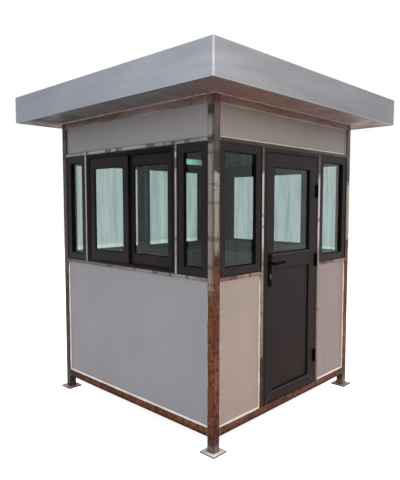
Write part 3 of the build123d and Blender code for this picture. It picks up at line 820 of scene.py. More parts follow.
@dataclass(frozen=True)
class MottledFinish(Finish):
    """A plain stuff of three close tones in small patches: rubber, sealant, weld metal,
    primer, board or lining, by its tones, patch size and gloss."""

    tones: Tones
    patch: float
    roughness: float = 0.6
    metallic: float = 0.0
    dent: float = 0.0002
    gloss: float = 0.5

    def write(self, recipe: Recipe) -> None:
        """Three tones by noise, with the same noise denting and dulling the surface.

        Args:
            recipe: the recipe of its material.
        """
        patch = recipe.noise(self.patch, detail=4.0)
        stops = np.linspace(*PATCHES, len(self.tones)).tolist()
        recipe.surface(patch.ramp(tuple(zip(stops, self.tones))),
                       patch.between(self.roughness + 0.1, self.roughness - 0.1),
                       self.metallic, self.gloss, patch.dents(self.dent))


@dataclass(frozen=True)
class JointedFinish(Finish):
    """Boards or sheets laid side by side along X: a mottled stuff with a dark joint at every
    pitch, each strip a little lighter or darker than the next."""

    dark: Colour
    pale: Colour
    joint: Colour
    pitch: float
    joint_width: float = 0.003
    grain: Grain = Grain.EVEN
    roughness: float = 0.5
    metallic: float = 0.0
    patch_size: float = 0.05
    change: float = 0.12
    span: tuple[float, float] = (0.35, 0.75)
    depth: float = 0.0008

    def write(self, recipe: Recipe) -> None:
        """Strips by the whole part of the coordinate over the pitch, joints by the rest.

        Args:
            recipe: the recipe of its material.
        """
        count = recipe.axis("X") / self.pitch
        strip = count.maths("FLOOR")
        shade = recipe.take("ShaderNodeTexWhiteNoise", {"W": strip}, "Value",
                            noise_dimensions="1D")
        patch = recipe.noise(self.patch_size, self.grain, 5.0)
        tone = (patch + shade * self.change).ramp(tuple(zip(self.span, (self.dark, self.pale))))
        edge = self.joint_width / self.pitch / 2
        seam = abs(count - strip - 0.5).fade(0.5 - 2 * edge, 0.5 - edge)
        recipe.surface(tone.blend(seam, self.joint),
                       patch.between(self.roughness + 0.12, self.roughness - 0.12),
                       self.metallic, dents=(patch * 0.2 - seam).dents(self.depth))


@dataclass(frozen=True)
class GlassFinish(Finish):
    """Clear float glass with a slight green, with upright streaks in its tint that are partly a
    wash film and partly painted reflection. Lamps shine through it as through real glass."""

    tint: Colour = (202, 214, 213)
    streak_tint: Colour = (184, 199, 197)
    mirror: Colour = (110, 118, 118)
    film_size: float = 0.07
    film_span: tuple[float, float] = (0.42, 0.66)
    haze: float = 0.04
    bend: float = 1.45

    def write(self, recipe: Recipe) -> None:
        """Tinted glass whose tint and gloss wander a little, open to lamp rays.

        Args:
            recipe: the recipe of its material.
        """
        film = recipe.noise(self.film_size, Grain.UPRIGHT, 4.0)
        # upright streaks of wash film and painted reflection
        tint = recipe.blend(film.fade(*self.film_span), self.tint, self.streak_tint)
        glass = recipe.shader(tint, film.between(0.0, self.haze), extra={
            "Transmission Weight": 1.0, "IOR": self.bend, "Specular Tint": linear(self.mirror)})
        clear = recipe.add("ShaderNodeBsdfTransparent", {"Color": linear(self.tint)})
        lamp_ray = recipe.add("ShaderNodeLightPath").outputs["Is Shadow Ray"]
        mixed = recipe.add("ShaderNodeMixShader", {0: lamp_ray, 1: glass, 2: clear.outputs[0]})
        recipe.output(mixed.outputs[0])


@dataclass(frozen=True)
class PaintedGlowFinish(Finish):
    """Painted light: a glowing cover that shows as a bright bar through the near pane, brighter
    along its middle than at its ends.
    """

    glow: Colour = (178, 246, 224)
    rim: Colour = (150, 196, 184)
    end: Colour = (118, 142, 142)
    middle: float = 0.505
    fall: tuple[float, float] = (0.08, 0.32)
    cloud_size: float = 0.2
    strength: float = 0.8

    def write(self, recipe: Recipe) -> None:
        """A glow whose colour falls off towards the cover's ends and wanders slightly.

        Args:
            recipe: the recipe of its material.
        """
        cloud = recipe.noise(self.cloud_size, Grain.LEVEL, 2.0)
        glow = recipe.blend(cloud.fade(*PATCHES), self.rim, self.glow)
        glow = glow.blend(abs(recipe.axis("X") - self.middle).fade(*self.fall), self.end)
        recipe.surface(glow, 0.4, extra={"Emission Color": glow,
                                         "Emission Strength": self.strength})


# Brown stops low down are painted reflection of brown ground; dark stops under the eaves are
# painted shade.
POST_STEEL = UprightFinish(
    "post_steel", back_shade=0.82, rim_shade=0.5, lean=(0.5, 0.3),
    side=((0.0, (140, 122, 114)), (0.04, (116, 92, 84)), (0.07, (92, 60, 52)),
          (0.13, (98, 62, 50)), (0.2, (118, 72, 54)), (1.04, (118, 76, 54)),
          (1.1, (128, 100, 82)), (1.14, (136, 122, 112)), (1.55, (142, 133, 126)),
          (2.09, (134, 129, 124)), (2.105, (62, 56, 50)), (2.13, (62, 56, 50)),
          (2.15, (138, 132, 128)), (2.25, (130, 125, 121)), (2.275, (60, 56, 52)),
          (2.33, (66, 60, 55)), (2.35, (124, 106, 100)), (2.415, (124, 106, 100))),
    front=((0.0, (176, 158, 148)), (0.035, (138, 116, 106)), (0.07, (96, 68, 60)),
           (0.13, (88, 56, 42)), (0.2, (112, 68, 52)), (0.62, (148, 90, 70)),
           (0.7, (114, 68, 48)), (1.1, (120, 74, 54)), (1.24, (136, 80, 68)),
           (1.34, (98, 62, 44)), (1.39, (158, 140, 124)), (1.72, (164, 156, 142)),
           (1.885, (178, 170, 160)), (1.905, (74, 68, 58)), (2.03, (66, 60, 52)),
           (2.06, (98, 90, 84)), (2.12, (86, 80, 72)), (2.2, (94, 86, 80)),
           (2.33, (108, 94, 84)), (2.35, (118, 88, 74)), (2.415, (118, 88, 74))))
# Its dark head above about 1.94 m is painted shade; its brown foot is painted reflection of brown
# ground.
DOOR_POST_STEEL = UprightFinish(
    "door_post_steel", 29.0, left_head=0.58,
    side=((0.0, (84, 58, 48)), (1.15, (100, 80, 70)), (1.25, (128, 114, 106)),
          (1.92, (148, 140, 134)), (1.95, (62, 56, 52)), (2.415, (62, 56, 52))),
    front=((0.0, (120, 88, 76)), (0.6, (134, 112, 102)), (1.2, (150, 132, 120)),
           (1.3, (142, 126, 120)), (1.42, (206, 190, 184)), (1.9, (212, 204, 198)),
           (1.94, (98, 90, 84)), (2.415, (92, 84, 78))))
MULLION_STEEL = UprightFinish(
    "mullion_steel", 33.0, bands=0.8,
    side=((0.0, (164, 158, 160)), (1.42, (156, 152, 150)), (2.415, (174, 168, 170))),
    front=((0.0, (126, 118, 116)), (1.3, (146, 136, 132)), (2.415, (112, 104, 100))))
# The rails' brown tones are painted reflection of brown ground; their far and rim darkening is
# painted shade.
LOW_RAIL_STEEL = RailFinish(
    "low_rail_steel", 3.0, dash_and_shade=(54, 28, 18), dashes=0.5, rim=0.7, middle=0.15, far=0.7,
    far_span=(-0.2, 0.9), side=((82, 46, 29), (106, 66, 45), (126, 86, 64)),
    front=((80, 50, 38), (104, 69, 54), (132, 94, 77)))
SILL_STEEL = RailFinish(
    "sill_steel", 11.0, reflection_head=1.0, middle=1.2, half=0.025, rim=0.3, dashes=0.75,
    dash_size=0.11, dash_from=0.525, far=0.7, far_span=(-0.9, 0.6),
    side=((110, 100, 102), (142, 133, 132), (164, 156, 156)),
    front=((114, 78, 66), (142, 102, 88), (172, 138, 124)))
HEAD_STEEL = RailFinish(
    "head_steel", 17.0, dashes=0.75, dash_size=0.11, dash_from=0.525, far=0.2,
    side=((106, 102, 103), (136, 131, 132), (157, 152, 153)),
    front=((50, 44, 40), (62, 55, 50), (78, 71, 65)))
# Red-brown fronts and grey-brown sides are painted reflection of brown ground.
TOP_STEEL = RailFinish(
    "top_steel", 23.0, dashes=0.0, far=0.5, far_span=(-0.9, 0.4),
    side=((106, 84, 76), (140, 120, 113), (156, 143, 138)),
    front=((112, 87, 73), (128, 100, 88), (144, 117, 106)))
PLATE_STEEL = PlateFinish("plate_steel")
# The door-side and back skins are warmer than the side skins: the same sheet with a painted
# reflection of warm ground.
SIDE_SKIN = SheetFinish("side_skin", (143, 142, 147), (143, 142, 147), 0.2, 1.2,
                        (244, 243, 244), "Y")
FRONT_SKIN = SheetFinish("front_skin", (167, 147, 136), (167, 148, 138), 0.2, 1.2,
                         (222, 218, 228), seed=4.0)
SIDE_HEAD_SKIN = SheetFinish("side_head_skin", (135, 131, 133), (135, 128, 129), 2.14, 2.36,
                             (236, 238, 240), "Y", 0.04, seed=8.0)
FRONT_HEAD_SKIN = SheetFinish("front_head_skin", (139, 127, 121), (132, 117, 109), 2.14, 2.36,
                              (242, 243, 246), "X", 0.04, seed=12.0)
SIDE_FASCIA = FoldedSheetFinish("side_fascia", "Y", (155, 158, 167), (131, 136, 147),
                                (84, 80, 84), 0.1)
END_FASCIA = FoldedSheetFinish("end_fascia", "X", (147, 148, 154), (124, 124, 130),
                               (140, 126, 126), 0.25)
SOFFIT_SHEET = SoffitFinish("soffit_sheet")
# The frames and sashes turn darker higher up: painted shade under the window heads.
FRAME_COAT = CoatFinish("frame_coat", (37, 30, 34), (47, 40, 44), high=(32, 27, 31),
                        high_share=0.7)
END_COAT = CoatFinish("end_frame_coat", (47, 34, 33), (55, 43, 41), high=(45, 35, 35),
                      high_share=0.7, seed=2.0)
SASH_COAT = CoatFinish("sash_coat", (34, 28, 31), (44, 37, 40), high=(16, 12, 14),
                       high_share=0.7)
# Painted shade: the sliding-window tracks are painted darker than the other frames.
TRACK_SHADE_COAT = CoatFinish("track_shade_coat", (16, 12, 14), (26, 21, 24), gloss=0.04)
DOOR_COAT = CoatFinish("door_coat", (46, 33, 33), (51, 38, 37), roughness=0.45, gloss=0.05,
                       seed=6.0, high=(50, 44, 47), high_share=0.9, levels=(0.4, 1.6))
PANE = GlassFinish("pane_glass")
RUBBER = MottledFinish("rubber_gasket", ((12, 11, 12), (19, 18, 19), (28, 26, 28)), 0.01,
                       gloss=0.03)
SEALANT = MottledFinish(
    "cream_sealant", ((236, 214, 202), (254, 240, 231), (255, 250, 245)), 0.02, 0.5)
PALE_SEALANT = MottledFinish(
    "pale_sealant", ((188, 180, 166), (210, 202, 188), (226, 218, 206)), 0.02, 0.5)
DULL_SEALANT = MottledFinish(
    "dull_sealant", ((92, 87, 88), (110, 105, 106), (128, 123, 124)), 0.02, 0.5)
BLACK_SEALANT = MottledFinish(
    "black_sealant", ((20, 18, 19), (30, 27, 29), (44, 40, 42)), 0.02, 0.5, gloss=0.1)
EAVES_SEALANT = MottledFinish(
    "eaves_sealant", ((100, 78, 70), (134, 106, 94), (160, 132, 118)), 0.03, 0.5)
WELD_METAL = MottledFinish(
    "weld_metal", ((66, 52, 46), (104, 86, 77), (144, 126, 116)), 0.006, 0.45, 0.3, gloss=0.15)
BLACK_METAL = MottledFinish(
    "black_metal", ((6, 5, 5), (10, 9, 9), (17, 15, 15)), 0.01, 0.45, dent=0.00005, gloss=0.015)
NICKEL = MottledFinish(
    "nickel", ((70, 67, 63), (96, 92, 87), (124, 120, 115)), 0.004, 0.28, 0.8, 0.00003)
FRAME_SEAM = MottledFinish("frame_seam", ((14, 12, 13), (20, 17, 19), (28, 25, 27)), 0.01)
# pale strips of painted highlight on the door leaf's foot mitres and arrises
LEAF_HIGHLIGHT = MottledFinish("leaf_highlight", ((74, 64, 66), (88, 78, 80), (104, 94, 96)), 0.01)
LEAF_HEAD_SEAM = MottledFinish(
    "leaf_head_seam", ((38, 32, 34), (44, 38, 40), (52, 46, 48)), 0.01, gloss=0.1)
BAR_PRIMER = MottledFinish("bar_primer", ((66, 50, 44), (88, 66, 56), (110, 84, 72)), 0.03, 0.65)
DECK_BOARD = JointedFinish("deck_board", (88, 74, 62), (124, 106, 90), (36, 30, 26), 0.19,
                           grain=Grain.LEVEL)
LINING = JointedFinish("ceiling_lining", (122, 128, 124), (150, 156, 152), (60, 62, 60), 0.45)
ROOF_SHEET = JointedFinish("roof_sheet", (150, 152, 156), (182, 184, 188), (92, 92, 94), 0.62,
                           0.004, metallic=0.25)
# painted light: a glow on the wall lamp's cover that shows as a bright bar through the glass
PAINTED_GLOW = PaintedGlowFinish("painted_glow_cover")


# ------------------------------------------------------------------------------ shapes
def solids_of(node: str) -> list[Box]:
    """The box of each solid in a node, left to right, front to back and upwards.

    Args:
        node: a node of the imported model.

    Returns:
        Lowest and highest corner of each solid. Corners that share a place share a label, and
        each triangle hands its lowest label to its corners until nothing changes.
    """
    mesh = bpy.data.objects[node].data
    points = np.empty(len(mesh.vertices) * 3)
    mesh.vertices.foreach_get("co", points)
    points = points.reshape(-1, 3)
    mesh.calc_loop_triangles()
    triangles = np.empty(len(mesh.loop_triangles) * 3, dtype=np.int64)
    mesh.loop_triangles.foreach_get("vertices", triangles)
    _, same = np.unique(np.round(points, 5), axis=0, return_inverse=True)
    corners = same.reshape(-1)[triangles].reshape(-1, 3)
    label = np.arange(same.max() + 1)
    while True:
        lowest = label.copy()
        for column in range(3):
            np.minimum.at(lowest, corners[:, column], label[corners].min(axis=1))
        if np.array_equal(lowest, label):
            break
        label = lowest
    owner = label[same.reshape(-1)]
    boxes = [(points[owner == one].min(axis=0), points[owner == one].max(axis=0))
             for one in np.unique(owner)]
    return sorted(boxes, key=lambda box: tuple(np.round(box[0], 3)))


def box_of(node: str) -> Box:
    """Lowest and highest corner of a whole node."""
    low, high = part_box(node)
    return np.array(low), np.array(high)


def outward_faces(points: np.ndarray, faces: list[list[int]]) -> list[list[int]]:
    """The faces of a closed shell, turned to point out of it.

    Args:
        points: its points.
        faces: its faces, all turned the same way.

    Returns:
        The faces, turned round where the volume that they enclose comes out negative. It is
        the sum over the faces' triangles of the triple product of their corners.
    """
    volume = 0.0
    for face in faces:
        fan = points[[[face[0], a, b] for a, b in zip(face[1:-1], face[2:])]]
        volume += np.einsum("ij,ij->", fan[:, 0], np.cross(fan[:, 1], fan[:, 2]))
    return faces if volume > 0 else [face[::-1] for face in faces]


def sweep(path: np.ndarray, across: np.ndarray, out: np.ndarray, profile: np.ndarray,
          closed: bool = True, swell: np.ndarray | None = None) -> Shell:
    """A closed profile carried along a path.

    Args:
        path: path points P(i).
        across: A(i), the direction of the profile's first number at each path point.
        out: B(i), the direction of its second number.
        profile: the profile's points (a, b), in order round it.
        closed: whether the path's end joins its start. An open one gets flat ends.
        swell: how much larger the profile is at each path point, 1 where left out.

    Returns:
        Points P(i) + s(i) * (a * A(i) + b * B(i)), and the faces between them.
    """
    count, size = len(path), len(profile)
    grow = np.ones(count) if swell is None else swell
    first = profile[None, :, 0, None] * across[:, None, :]
    second = profile[None, :, 1, None] * out[:, None, :]
    points = (path[:, None, :] + grow[:, None, None] * (first + second)).reshape(-1, 3)
    rows = np.arange(count if closed else count - 1)[:, None]
    columns = np.arange(size)[None, :]
    next_row, next_column = (rows + 1) % count, (columns + 1) % size
    quads = np.stack([rows * size + columns, next_row * size + columns,
                      next_row * size + next_column, rows * size + next_column], axis=-1)
    faces = quads.reshape(-1, 4).tolist()
    if not closed:
        faces += [list(range(size))[::-1], list(range((count - 1) * size, count * size))]
    return points, outward_faces(points, faces)


@dataclass(frozen=True)
class CrossSlot:
    """A cross pressed into a crown: half the width of its arms, their reach, its depth."""

    half: float
    reach: float
    depth: float


def turned(profile: np.ndarray, count: int, centre: np.ndarray, axis: np.ndarray,
           slot: CrossSlot | None = None) -> Shell:
    """A profile spun round a level axis, with a cross slot pressed into it where asked.

    Args:
        profile: points (radius, height) from the crown to the foot. The first and the last
            lie on the axis and become single poles.
        count: how many steps round the axis.
        centre: where the axis meets height 0.
        axis: unit vector of growing height.
        slot: the cross slot, or None.

    Returns:
        Points centre + r cos(t) up + r sin(t) (axis x up) + h axis, and their faces. In the
        slot, where the smaller of |x| and |y| is under its half width, h is lower by its depth.
    """
    turn = np.linspace(0.0, 2 * math.pi, count, endpoint=False)
    radius, height = profile[1:-1, 0], profile[1:-1, 1]
    x = radius[:, None] * np.cos(turn)
    y = radius[:, None] * np.sin(turn)
    level = np.repeat(height[:, None], count, axis=1)
    poles = centre + profile[[0, -1], 1, None] * axis
    if slot is not None:
        narrow = np.minimum(abs(x), abs(y)) < slot.half
        level = level - slot.depth * (narrow & (np.hypot(x, y) < slot.reach))
        poles[0] -= slot.depth * axis
    other = np.cross(axis, UP)
    rings = centre + x[..., None] * UP + y[..., None] * other + level[..., None] * axis
    points = np.concatenate([rings.reshape(-1, 3), poles])
    step = np.arange(count)
    after = (step + 1) % count
    last = (len(radius) - 1) * count
    first_pole, last_pole = len(points) - 2, len(points) - 1
    faces = [[first_pole, int(b), int(a)] for a, b in zip(step, after)]
    faces += [[last_pole, last + int(a), last + int(b)] for a, b in zip(step, after)]
    rows = np.arange(len(radius) - 1)[:, None] * count
    quads = np.stack([rows + step, rows + after, rows + count + after, rows + count + step], -1)
    faces += quads.reshape(-1, 4).tolist()
    return points, outward_faces(points, faces)


def join(shells: list[Shell]) -> Shell:
    """Several shells as one.

    Args:
        shells: the points and faces of each.

    Returns:
        All points, and all faces with their numbers moved on past the shells before them.
    """
    points = np.concatenate([shell[0] for shell in shells])
    starts = np.cumsum([0] + [len(shell[0]) for shell in shells[:-1]])
    faces = [[index + int(start) for index in face]
             for start, shell in zip(starts, shells) for face in shell[1]]
    return points, faces


@dataclass(frozen=True)
class Loop:
    """Places stepped along the four sides of an outline, from each corner to the next.

    side is the number of the side that each place is on, share how far it is along that side,
    and places where it lies. A place at share 0 is a corner."""

    side: np.ndarray
    share: np.ndarray
    places: np.ndarray

    @classmethod
    def along(cls, corners: np.ndarray, steps: np.ndarray) -> "Loop":
        """Steps along an outline.

        Args:
            corners: its four corners, in order.
            steps: into how many steps each side is cut.

        Returns:
            The loop. A place is its side's first corner plus share times the way to the next.
        """
        side = np.repeat(np.arange(4), steps)
        start = np.concatenate([[0], np.cumsum(steps)[:-1]])
        share = (np.arange(steps.sum()) - start[side]) / steps[side]
        ways = np.roll(corners, -1, axis=0) - corners
        return cls(side, share, corners[side] + share[:, None] * ways[side])

    def mitred(self, normals: np.ndarray) -> np.ndarray:
        """The normal of each place's side, and at a corner the sum of its two sides' own."""
        before = np.where(self.share[:, None] == 0, normals[self.side - 1], 0.0)
        return normals[self.side] + before


@dataclass(frozen=True)
class Rectangle:
    """An upright rectangle on a wall: its span to the right, its levels, and how far out its
    plane lies."""

    wall: Wall
    span: tuple[float, float]
    levels: tuple[float, float]
    face: float

    @classmethod
    def of_box(cls, wall: Wall, box: Box, side: Face = Face.OUTER) -> "Rectangle":
        """A face of a box that is part of a wall.

        Args:
            wall: the wall.
            box: the box's lowest and highest corner.
            side: which of its faces.

        Returns:
            The face.
        """
        right = sorted(float(corner @ wall.right) for corner in box)
        out = sorted(float(corner @ wall.outward) for corner in box)
        face = out[1] if side is Face.OUTER else out[0]
        return cls(wall, (right[0], right[1]), (float(box[0][2]), float(box[1][2])), face)

    def inset(self, margin: float) -> "Rectangle":
        """The same rectangle, smaller by margin on every side."""
        return replace(self, span=(self.span[0] + margin, self.span[1] - margin),
                       levels=(self.levels[0] + margin, self.levels[1] - margin))

    def at(self, flat: np.ndarray) -> np.ndarray:
        """Points in space from pairs of a place along the wall and a level."""
        base = flat[:, :1] * self.wall.right + self.face * self.wall.outward
        return base + flat[:, 1:] * UP

    def corners(self) -> np.ndarray:
        """The four corners, each a place along the wall and a level, in order round them."""
        (start, end), (foot, head) = self.span, self.levels
        return np.array([[start, foot], [end, foot], [end, head], [start, head]])


@dataclass(frozen=True)
class Bead:
    """A strip laid in the corner between a rectangle's plane and what surrounds it. Its size
    is the side's share (foot, right, head, left), and wavers as the mean of three sines, each
    with its rate and start, of a way that grows along the wall, upwards and outwards."""

    width: float
    height: float
    spacing: float = 0.05
    waver: float = 0.0
    shares: tuple[float, float, float, float] = (1.0, 1.0, 1.0, 1.0)
    growth: tuple[float, float, float] = (7.0, 9.0, 31.0)
    waves: tuple[tuple[float, float], ...] = ((3.1, 0.0), (7.7, 1.0), (15.3, 2.0))
    curve_points: int = 5

    def profile(self) -> np.ndarray:
        """A quarter of an ellipse from the plane up to the surround, closed behind.

        Returns:
            Points: how far towards the rectangle's middle, and how far off its plane.
        """
        angle = np.linspace(0.0, math.pi / 2, self.curve_points)
        curve = np.stack([self.width * np.cos(angle), self.height * np.sin(angle)], axis=1)
        back = np.array([[-SINK, self.height], [-SINK, -SINK], [self.width, -SINK]])
        return np.concatenate([curve, back])

    def round(self, rectangle: Rectangle, side: Face = Face.OUTER) -> Shell:
        """The bead carried round a rectangle.

        Args:
            rectangle: the rectangle whose rim it follows, from the inside.
            side: whether it stands out of the booth or into it.

        Returns:
            A sweep whose path steps along the four sides. Its first direction points to the
            rectangle's middle, mitred at the corners. Its size is the side's share times (1 +
            waver * the mean of the sines); a corner takes the smaller share, without waver.
        """
        corners = rectangle.corners()
        lengths = np.hypot(*(np.roll(corners, -1, axis=0) - corners).T)
        loop = Loop.along(corners, np.maximum(1, (lengths / self.spacing).astype(int)))
        lean = loop.mitred(np.array([[0.0, 1.0], [-1.0, 0.0], [0.0, -1.0], [1.0, 0.0]]))
        across = lean[:, :1] * rectangle.wall.right + lean[:, 1:] * UP
        out = np.repeat(side.value * rectangle.wall.outward[None, :], len(across), axis=0)
        way = loop.places @ self.growth[:2] + rectangle.face * self.growth[2]
        swing = np.mean([np.sin(way * rate + start) for rate, start in self.waves], axis=0)
        own, before = (np.array(self.shares)[loop.side - k] for k in (0, 1))
        inner = loop.share != 0
        swell = np.where(inner, own, np.minimum(own, before)) * (
            1.0 + self.waver * swing * inner)
        return sweep(rectangle.at(loop.places), across, out, self.profile(), swell=swell)


@dataclass(frozen=True)
class Gasket(Bead):
    """A glazing rubber: a fillet on the pane, a skin up the reveal and a lip lapped on to the
    bevel of the glazing bead. Its height is the reveal's depth."""

    skin: float = 0.0008
    bevel: float = 0.003
    lap: float = 0.0022
    fillet_share: float = 0.6  # the most of the height that the fillet takes

    def profile(self) -> np.ndarray:
        """The fillet's curve, then the skin's and the lip's straight runs, closed behind.

        Returns:
            Points: how far towards the rectangle's middle, and how far off its plane.
        """
        angle = np.linspace(0.0, math.pi / 2, self.curve_points)
        rise = min(self.width, self.fillet_share * self.height)
        reach = self.width - self.skin
        curve = np.stack([self.width - reach * np.sin(angle), rise * (1.0 - np.cos(angle))],
                         axis=1)
        shoulder = max(self.height - self.bevel, rise + self.skin)
        lip = np.array([[self.skin, shoulder],
                        [self.skin - self.lap, shoulder + self.lap + self.skin / 2],
                        [-self.lap - SINK, shoulder + self.lap - SINK],
                        [-SINK, shoulder - 2 * SINK], [-SINK, -SINK], [self.width, -SINK]])
        return np.concatenate([curve, lip])


@dataclass(frozen=True)
class Seam:
    """A slender roof-shaped strip, sunk a little into what it lies on."""

    width: float = 0.0026
    height: float = 0.0004
    eaves: float = 0.4  # share of the height at which its slopes begin

    def between(self, start: np.ndarray, end: np.ndarray, out: np.ndarray) -> Shell:
        """The strip laid between two points.

        Args:
            start: one end.
            end: the other.
            out: unit vector out of the surface that it lies on.

        Returns:
            A five-cornered profile carried along the straight line between them.
        """
        across = np.cross(out, (end - start) / np.linalg.norm(end - start))
        half, side = self.width / 2, self.height * self.eaves
        profile = np.array([[-half, -SINK / 3], [half, -SINK / 3], [half, side],
                            [0.0, self.height], [-half, side]])
        return sweep(np.stack([start, end]), np.stack([across] * 2), np.stack([out] * 2),
                     profile, closed=False)

    def foot_line(self, rim: Rectangle) -> Shell:
        """The strip laid along a rectangle's foot."""
        start, end = rim.at(rim.corners()[:2])
        return self.between(start, end, rim.wall.outward)

    def mitres(self, rim: Rectangle, face_width: float) -> list[Shell]:
        """A strip across each corner of a frame, from its outer to its inner corner.

        Args:
            rim: the frame's outer edge.
            face_width: how wide the frame's face is.

        Returns:
            One strip per corner: the two at the foot, then the two at the head.
        """
        outer, inner = rim.inset(self.width), rim.inset(face_width - self.width)
        return [self.between(start, end, rim.wall.outward)
                for start, end in zip(outer.at(outer.corners()), inner.at(inner.corners()))]


@dataclass(frozen=True)
class WeldRun:
    """A bead of weld carried round the joint of two tubes, in even overlapping ripples."""

    reach: float = 0.0045
    height: float = 0.0016
    pitch: float = 0.0055
    corner: float = 0.004
    corner_points: int = 4
    ripple_steps: int = 4
    dome_points: int = 6
    low: float = 0.75  # size between two ripples

    def outline(self, half_across: float, half_up: float) -> np.ndarray:
        """A tube's outline in even steps, as many to each ripple.

        Args:
            half_across: half the tube's width.
            half_up: half its height.

        Returns:
            Points across and up, met by following the rounded rectangle's four sides and
            corner arcs.
        """
        straight = np.array([half_across, half_up]) - self.corner
        signs = np.array([[1, 1], [-1, 1], [-1, -1], [1, -1]])
        arcs = (np.linspace(0.0, math.pi / 2, self.corner_points)
                + np.arange(4)[:, None] * math.pi / 2)
        bow = self.corner * np.stack([np.cos(arcs), np.sin(arcs)], axis=-1)
        rim = (signs[:, None, :] * straight + bow).reshape(-1, 2)
        rim = np.concatenate([rim, rim[:1]])
        gaps = np.linalg.norm(np.diff(rim, axis=0), axis=1)
        way = np.concatenate([[0.0], np.cumsum(gaps)])
        count = int(way[-1] / self.pitch) * self.ripple_steps
        steps = np.arange(count) * way[-1] / count
        return np.stack([np.interp(steps, way, rim[:, k]) for k in range(2)], axis=1)

    def around(self, centre: np.ndarray, axis: np.ndarray, half_across: float,
               half_up: float, up: np.ndarray) -> Shell:
        """The bead round a tube.

        Args:
            centre: the middle of the joint.
            axis: unit vector along the tube, away from what it is welded to.
            half_across: half the tube's width.
            half_up: half its height.
            up: unit vector of its height.

        Returns:
            A sweep round its outline. The profile is half an ellipse, and its size is low +
            (1 - low) * |sin|, half a wave to each ripple.
        """
        flat = self.outline(half_across, half_up)
        tangent = np.roll(flat, -1, axis=0) - np.roll(flat, 1, axis=0)
        normal = np.stack([tangent[:, 1], -tangent[:, 0]], axis=1)
        normal /= np.linalg.norm(normal, axis=1)[:, None]
        across = np.cross(up, axis)
        path = centre + flat[:, :1] * across + flat[:, 1:] * up
        out = normal[:, :1] * across + normal[:, 1:] * up
        wave = np.abs(np.sin(math.pi * np.arange(len(flat)) / self.ripple_steps))
        angle = np.linspace(0.0, math.pi, self.dome_points)
        dome = np.stack([self.reach * np.cos(angle), self.height * np.sin(angle)], axis=1)
        profile = np.concatenate([dome, [[-self.reach, -SINK], [self.reach, -SINK]]])
        return sweep(path, np.repeat(axis[None, :], len(flat), axis=0), out, profile,
                     swell=self.low + (1.0 - self.low) * wave)


def make_piece(name: str, shells: list[Shell], finish: Finish, body: str) -> None:
    """Puts shells into the scene as one smoothly shaded piece.

    Args:
        name: the piece's name.
        shells: their points and faces.
        finish: its finish.
        body: the body it rides on.
    """
    points, faces = join(shells)
    mesh = bpy.data.meshes.new(name)
    mesh.from_pydata(points.tolist(), [], faces)
    mesh.update()
    mesh.polygons.foreach_set("use_smooth", [True] * len(mesh.polygons))
    mesh.materials.append(finish.material())
    piece = bpy.data.objects.new(name, mesh)
    bpy.context.scene.collection.objects.link(piece)
    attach(piece, body)
    log.info("piece %s: %d points, %d faces on %s", name, len(points), len(faces), body)


def dress(finishes: dict[str, Finish]) -> None:
    """Gives every material slot of some nodes their finish.

    Args:
        finishes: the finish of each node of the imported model, by the node's name.
    """
    for node, finish in finishes.items():
        for holder in bpy.data.objects[node].material_slots:
            holder.material = finish.material()
        log.info("node %s: %s", node, finish.name)


# ------------------------------------------------------------------------------ sub-assemblies
@dataclass
class SteelFrame:
    """The welded frame of square tubes on its four foot plates."""

    post_half: float = 0.03
    rail_half: float = 0.03
    slim_half: float = 0.015
    foot_weld: WeldRun = WeldRun(reach=0.006, height=0.004)
    joint_weld: WeldRun = WeldRun()

    def weld_feet(self) -> None:
        """A rippled weld round each post where it stands on its plate."""
        top = box_of("base_plates")[1][2]
        runs = [self.foot_weld.around(np.array([*(low + high)[:2] / 2, top]), UP,
                                      self.post_half, self.post_half, np.array([0.0, 1.0, 0.0]))
                for low, high in solids_of("corner_posts")]
        make_piece("foot_welds", runs, WELD_METAL, "booth")

    def weld_rails(self, node: str, half_up: float) -> None:
        """A flat weld round each end of the four walls' rails, where they meet the posts.

        Args:
            node: the node of the four rails.
            half_up: half their height.
        """
        low, high = box_of(node)
        runs = []
        for wall in Wall:
            middle = (high[0] - self.rail_half) * wall.outward + (low[2] + high[2]) / 2 * UP
            for end in ((2 * self.post_half - high[0]) * wall.right,
                        (high[0] - 2 * self.post_half) * wall.right):
                inward = -end / np.linalg.norm(end)
                runs.append(self.joint_weld.around(end + middle, inward, self.rail_half,
                                                   half_up, UP))
        make_piece(node + "_welds", runs, WELD_METAL, "booth")

    def build(self) -> None:
        """Dresses the frame and lays its welds."""
        dress({"base_plates": PLATE_STEEL, "corner_posts": POST_STEEL,
               "bottom_rails": LOW_RAIL_STEEL, "sill_rails": SILL_STEEL,
               "head_rails": HEAD_STEEL, "top_rails": TOP_STEEL,
               "door_posts": DOOR_POST_STEEL, "window_mullions": MULLION_STEEL})
        self.weld_feet()
        self.weld_rails("bottom_rails", self.rail_half)
        self.weld_rails("sill_rails", self.slim_half)
        self.weld_rails("head_rails", self.slim_half)
        self.weld_rails("top_rails", self.rail_half)


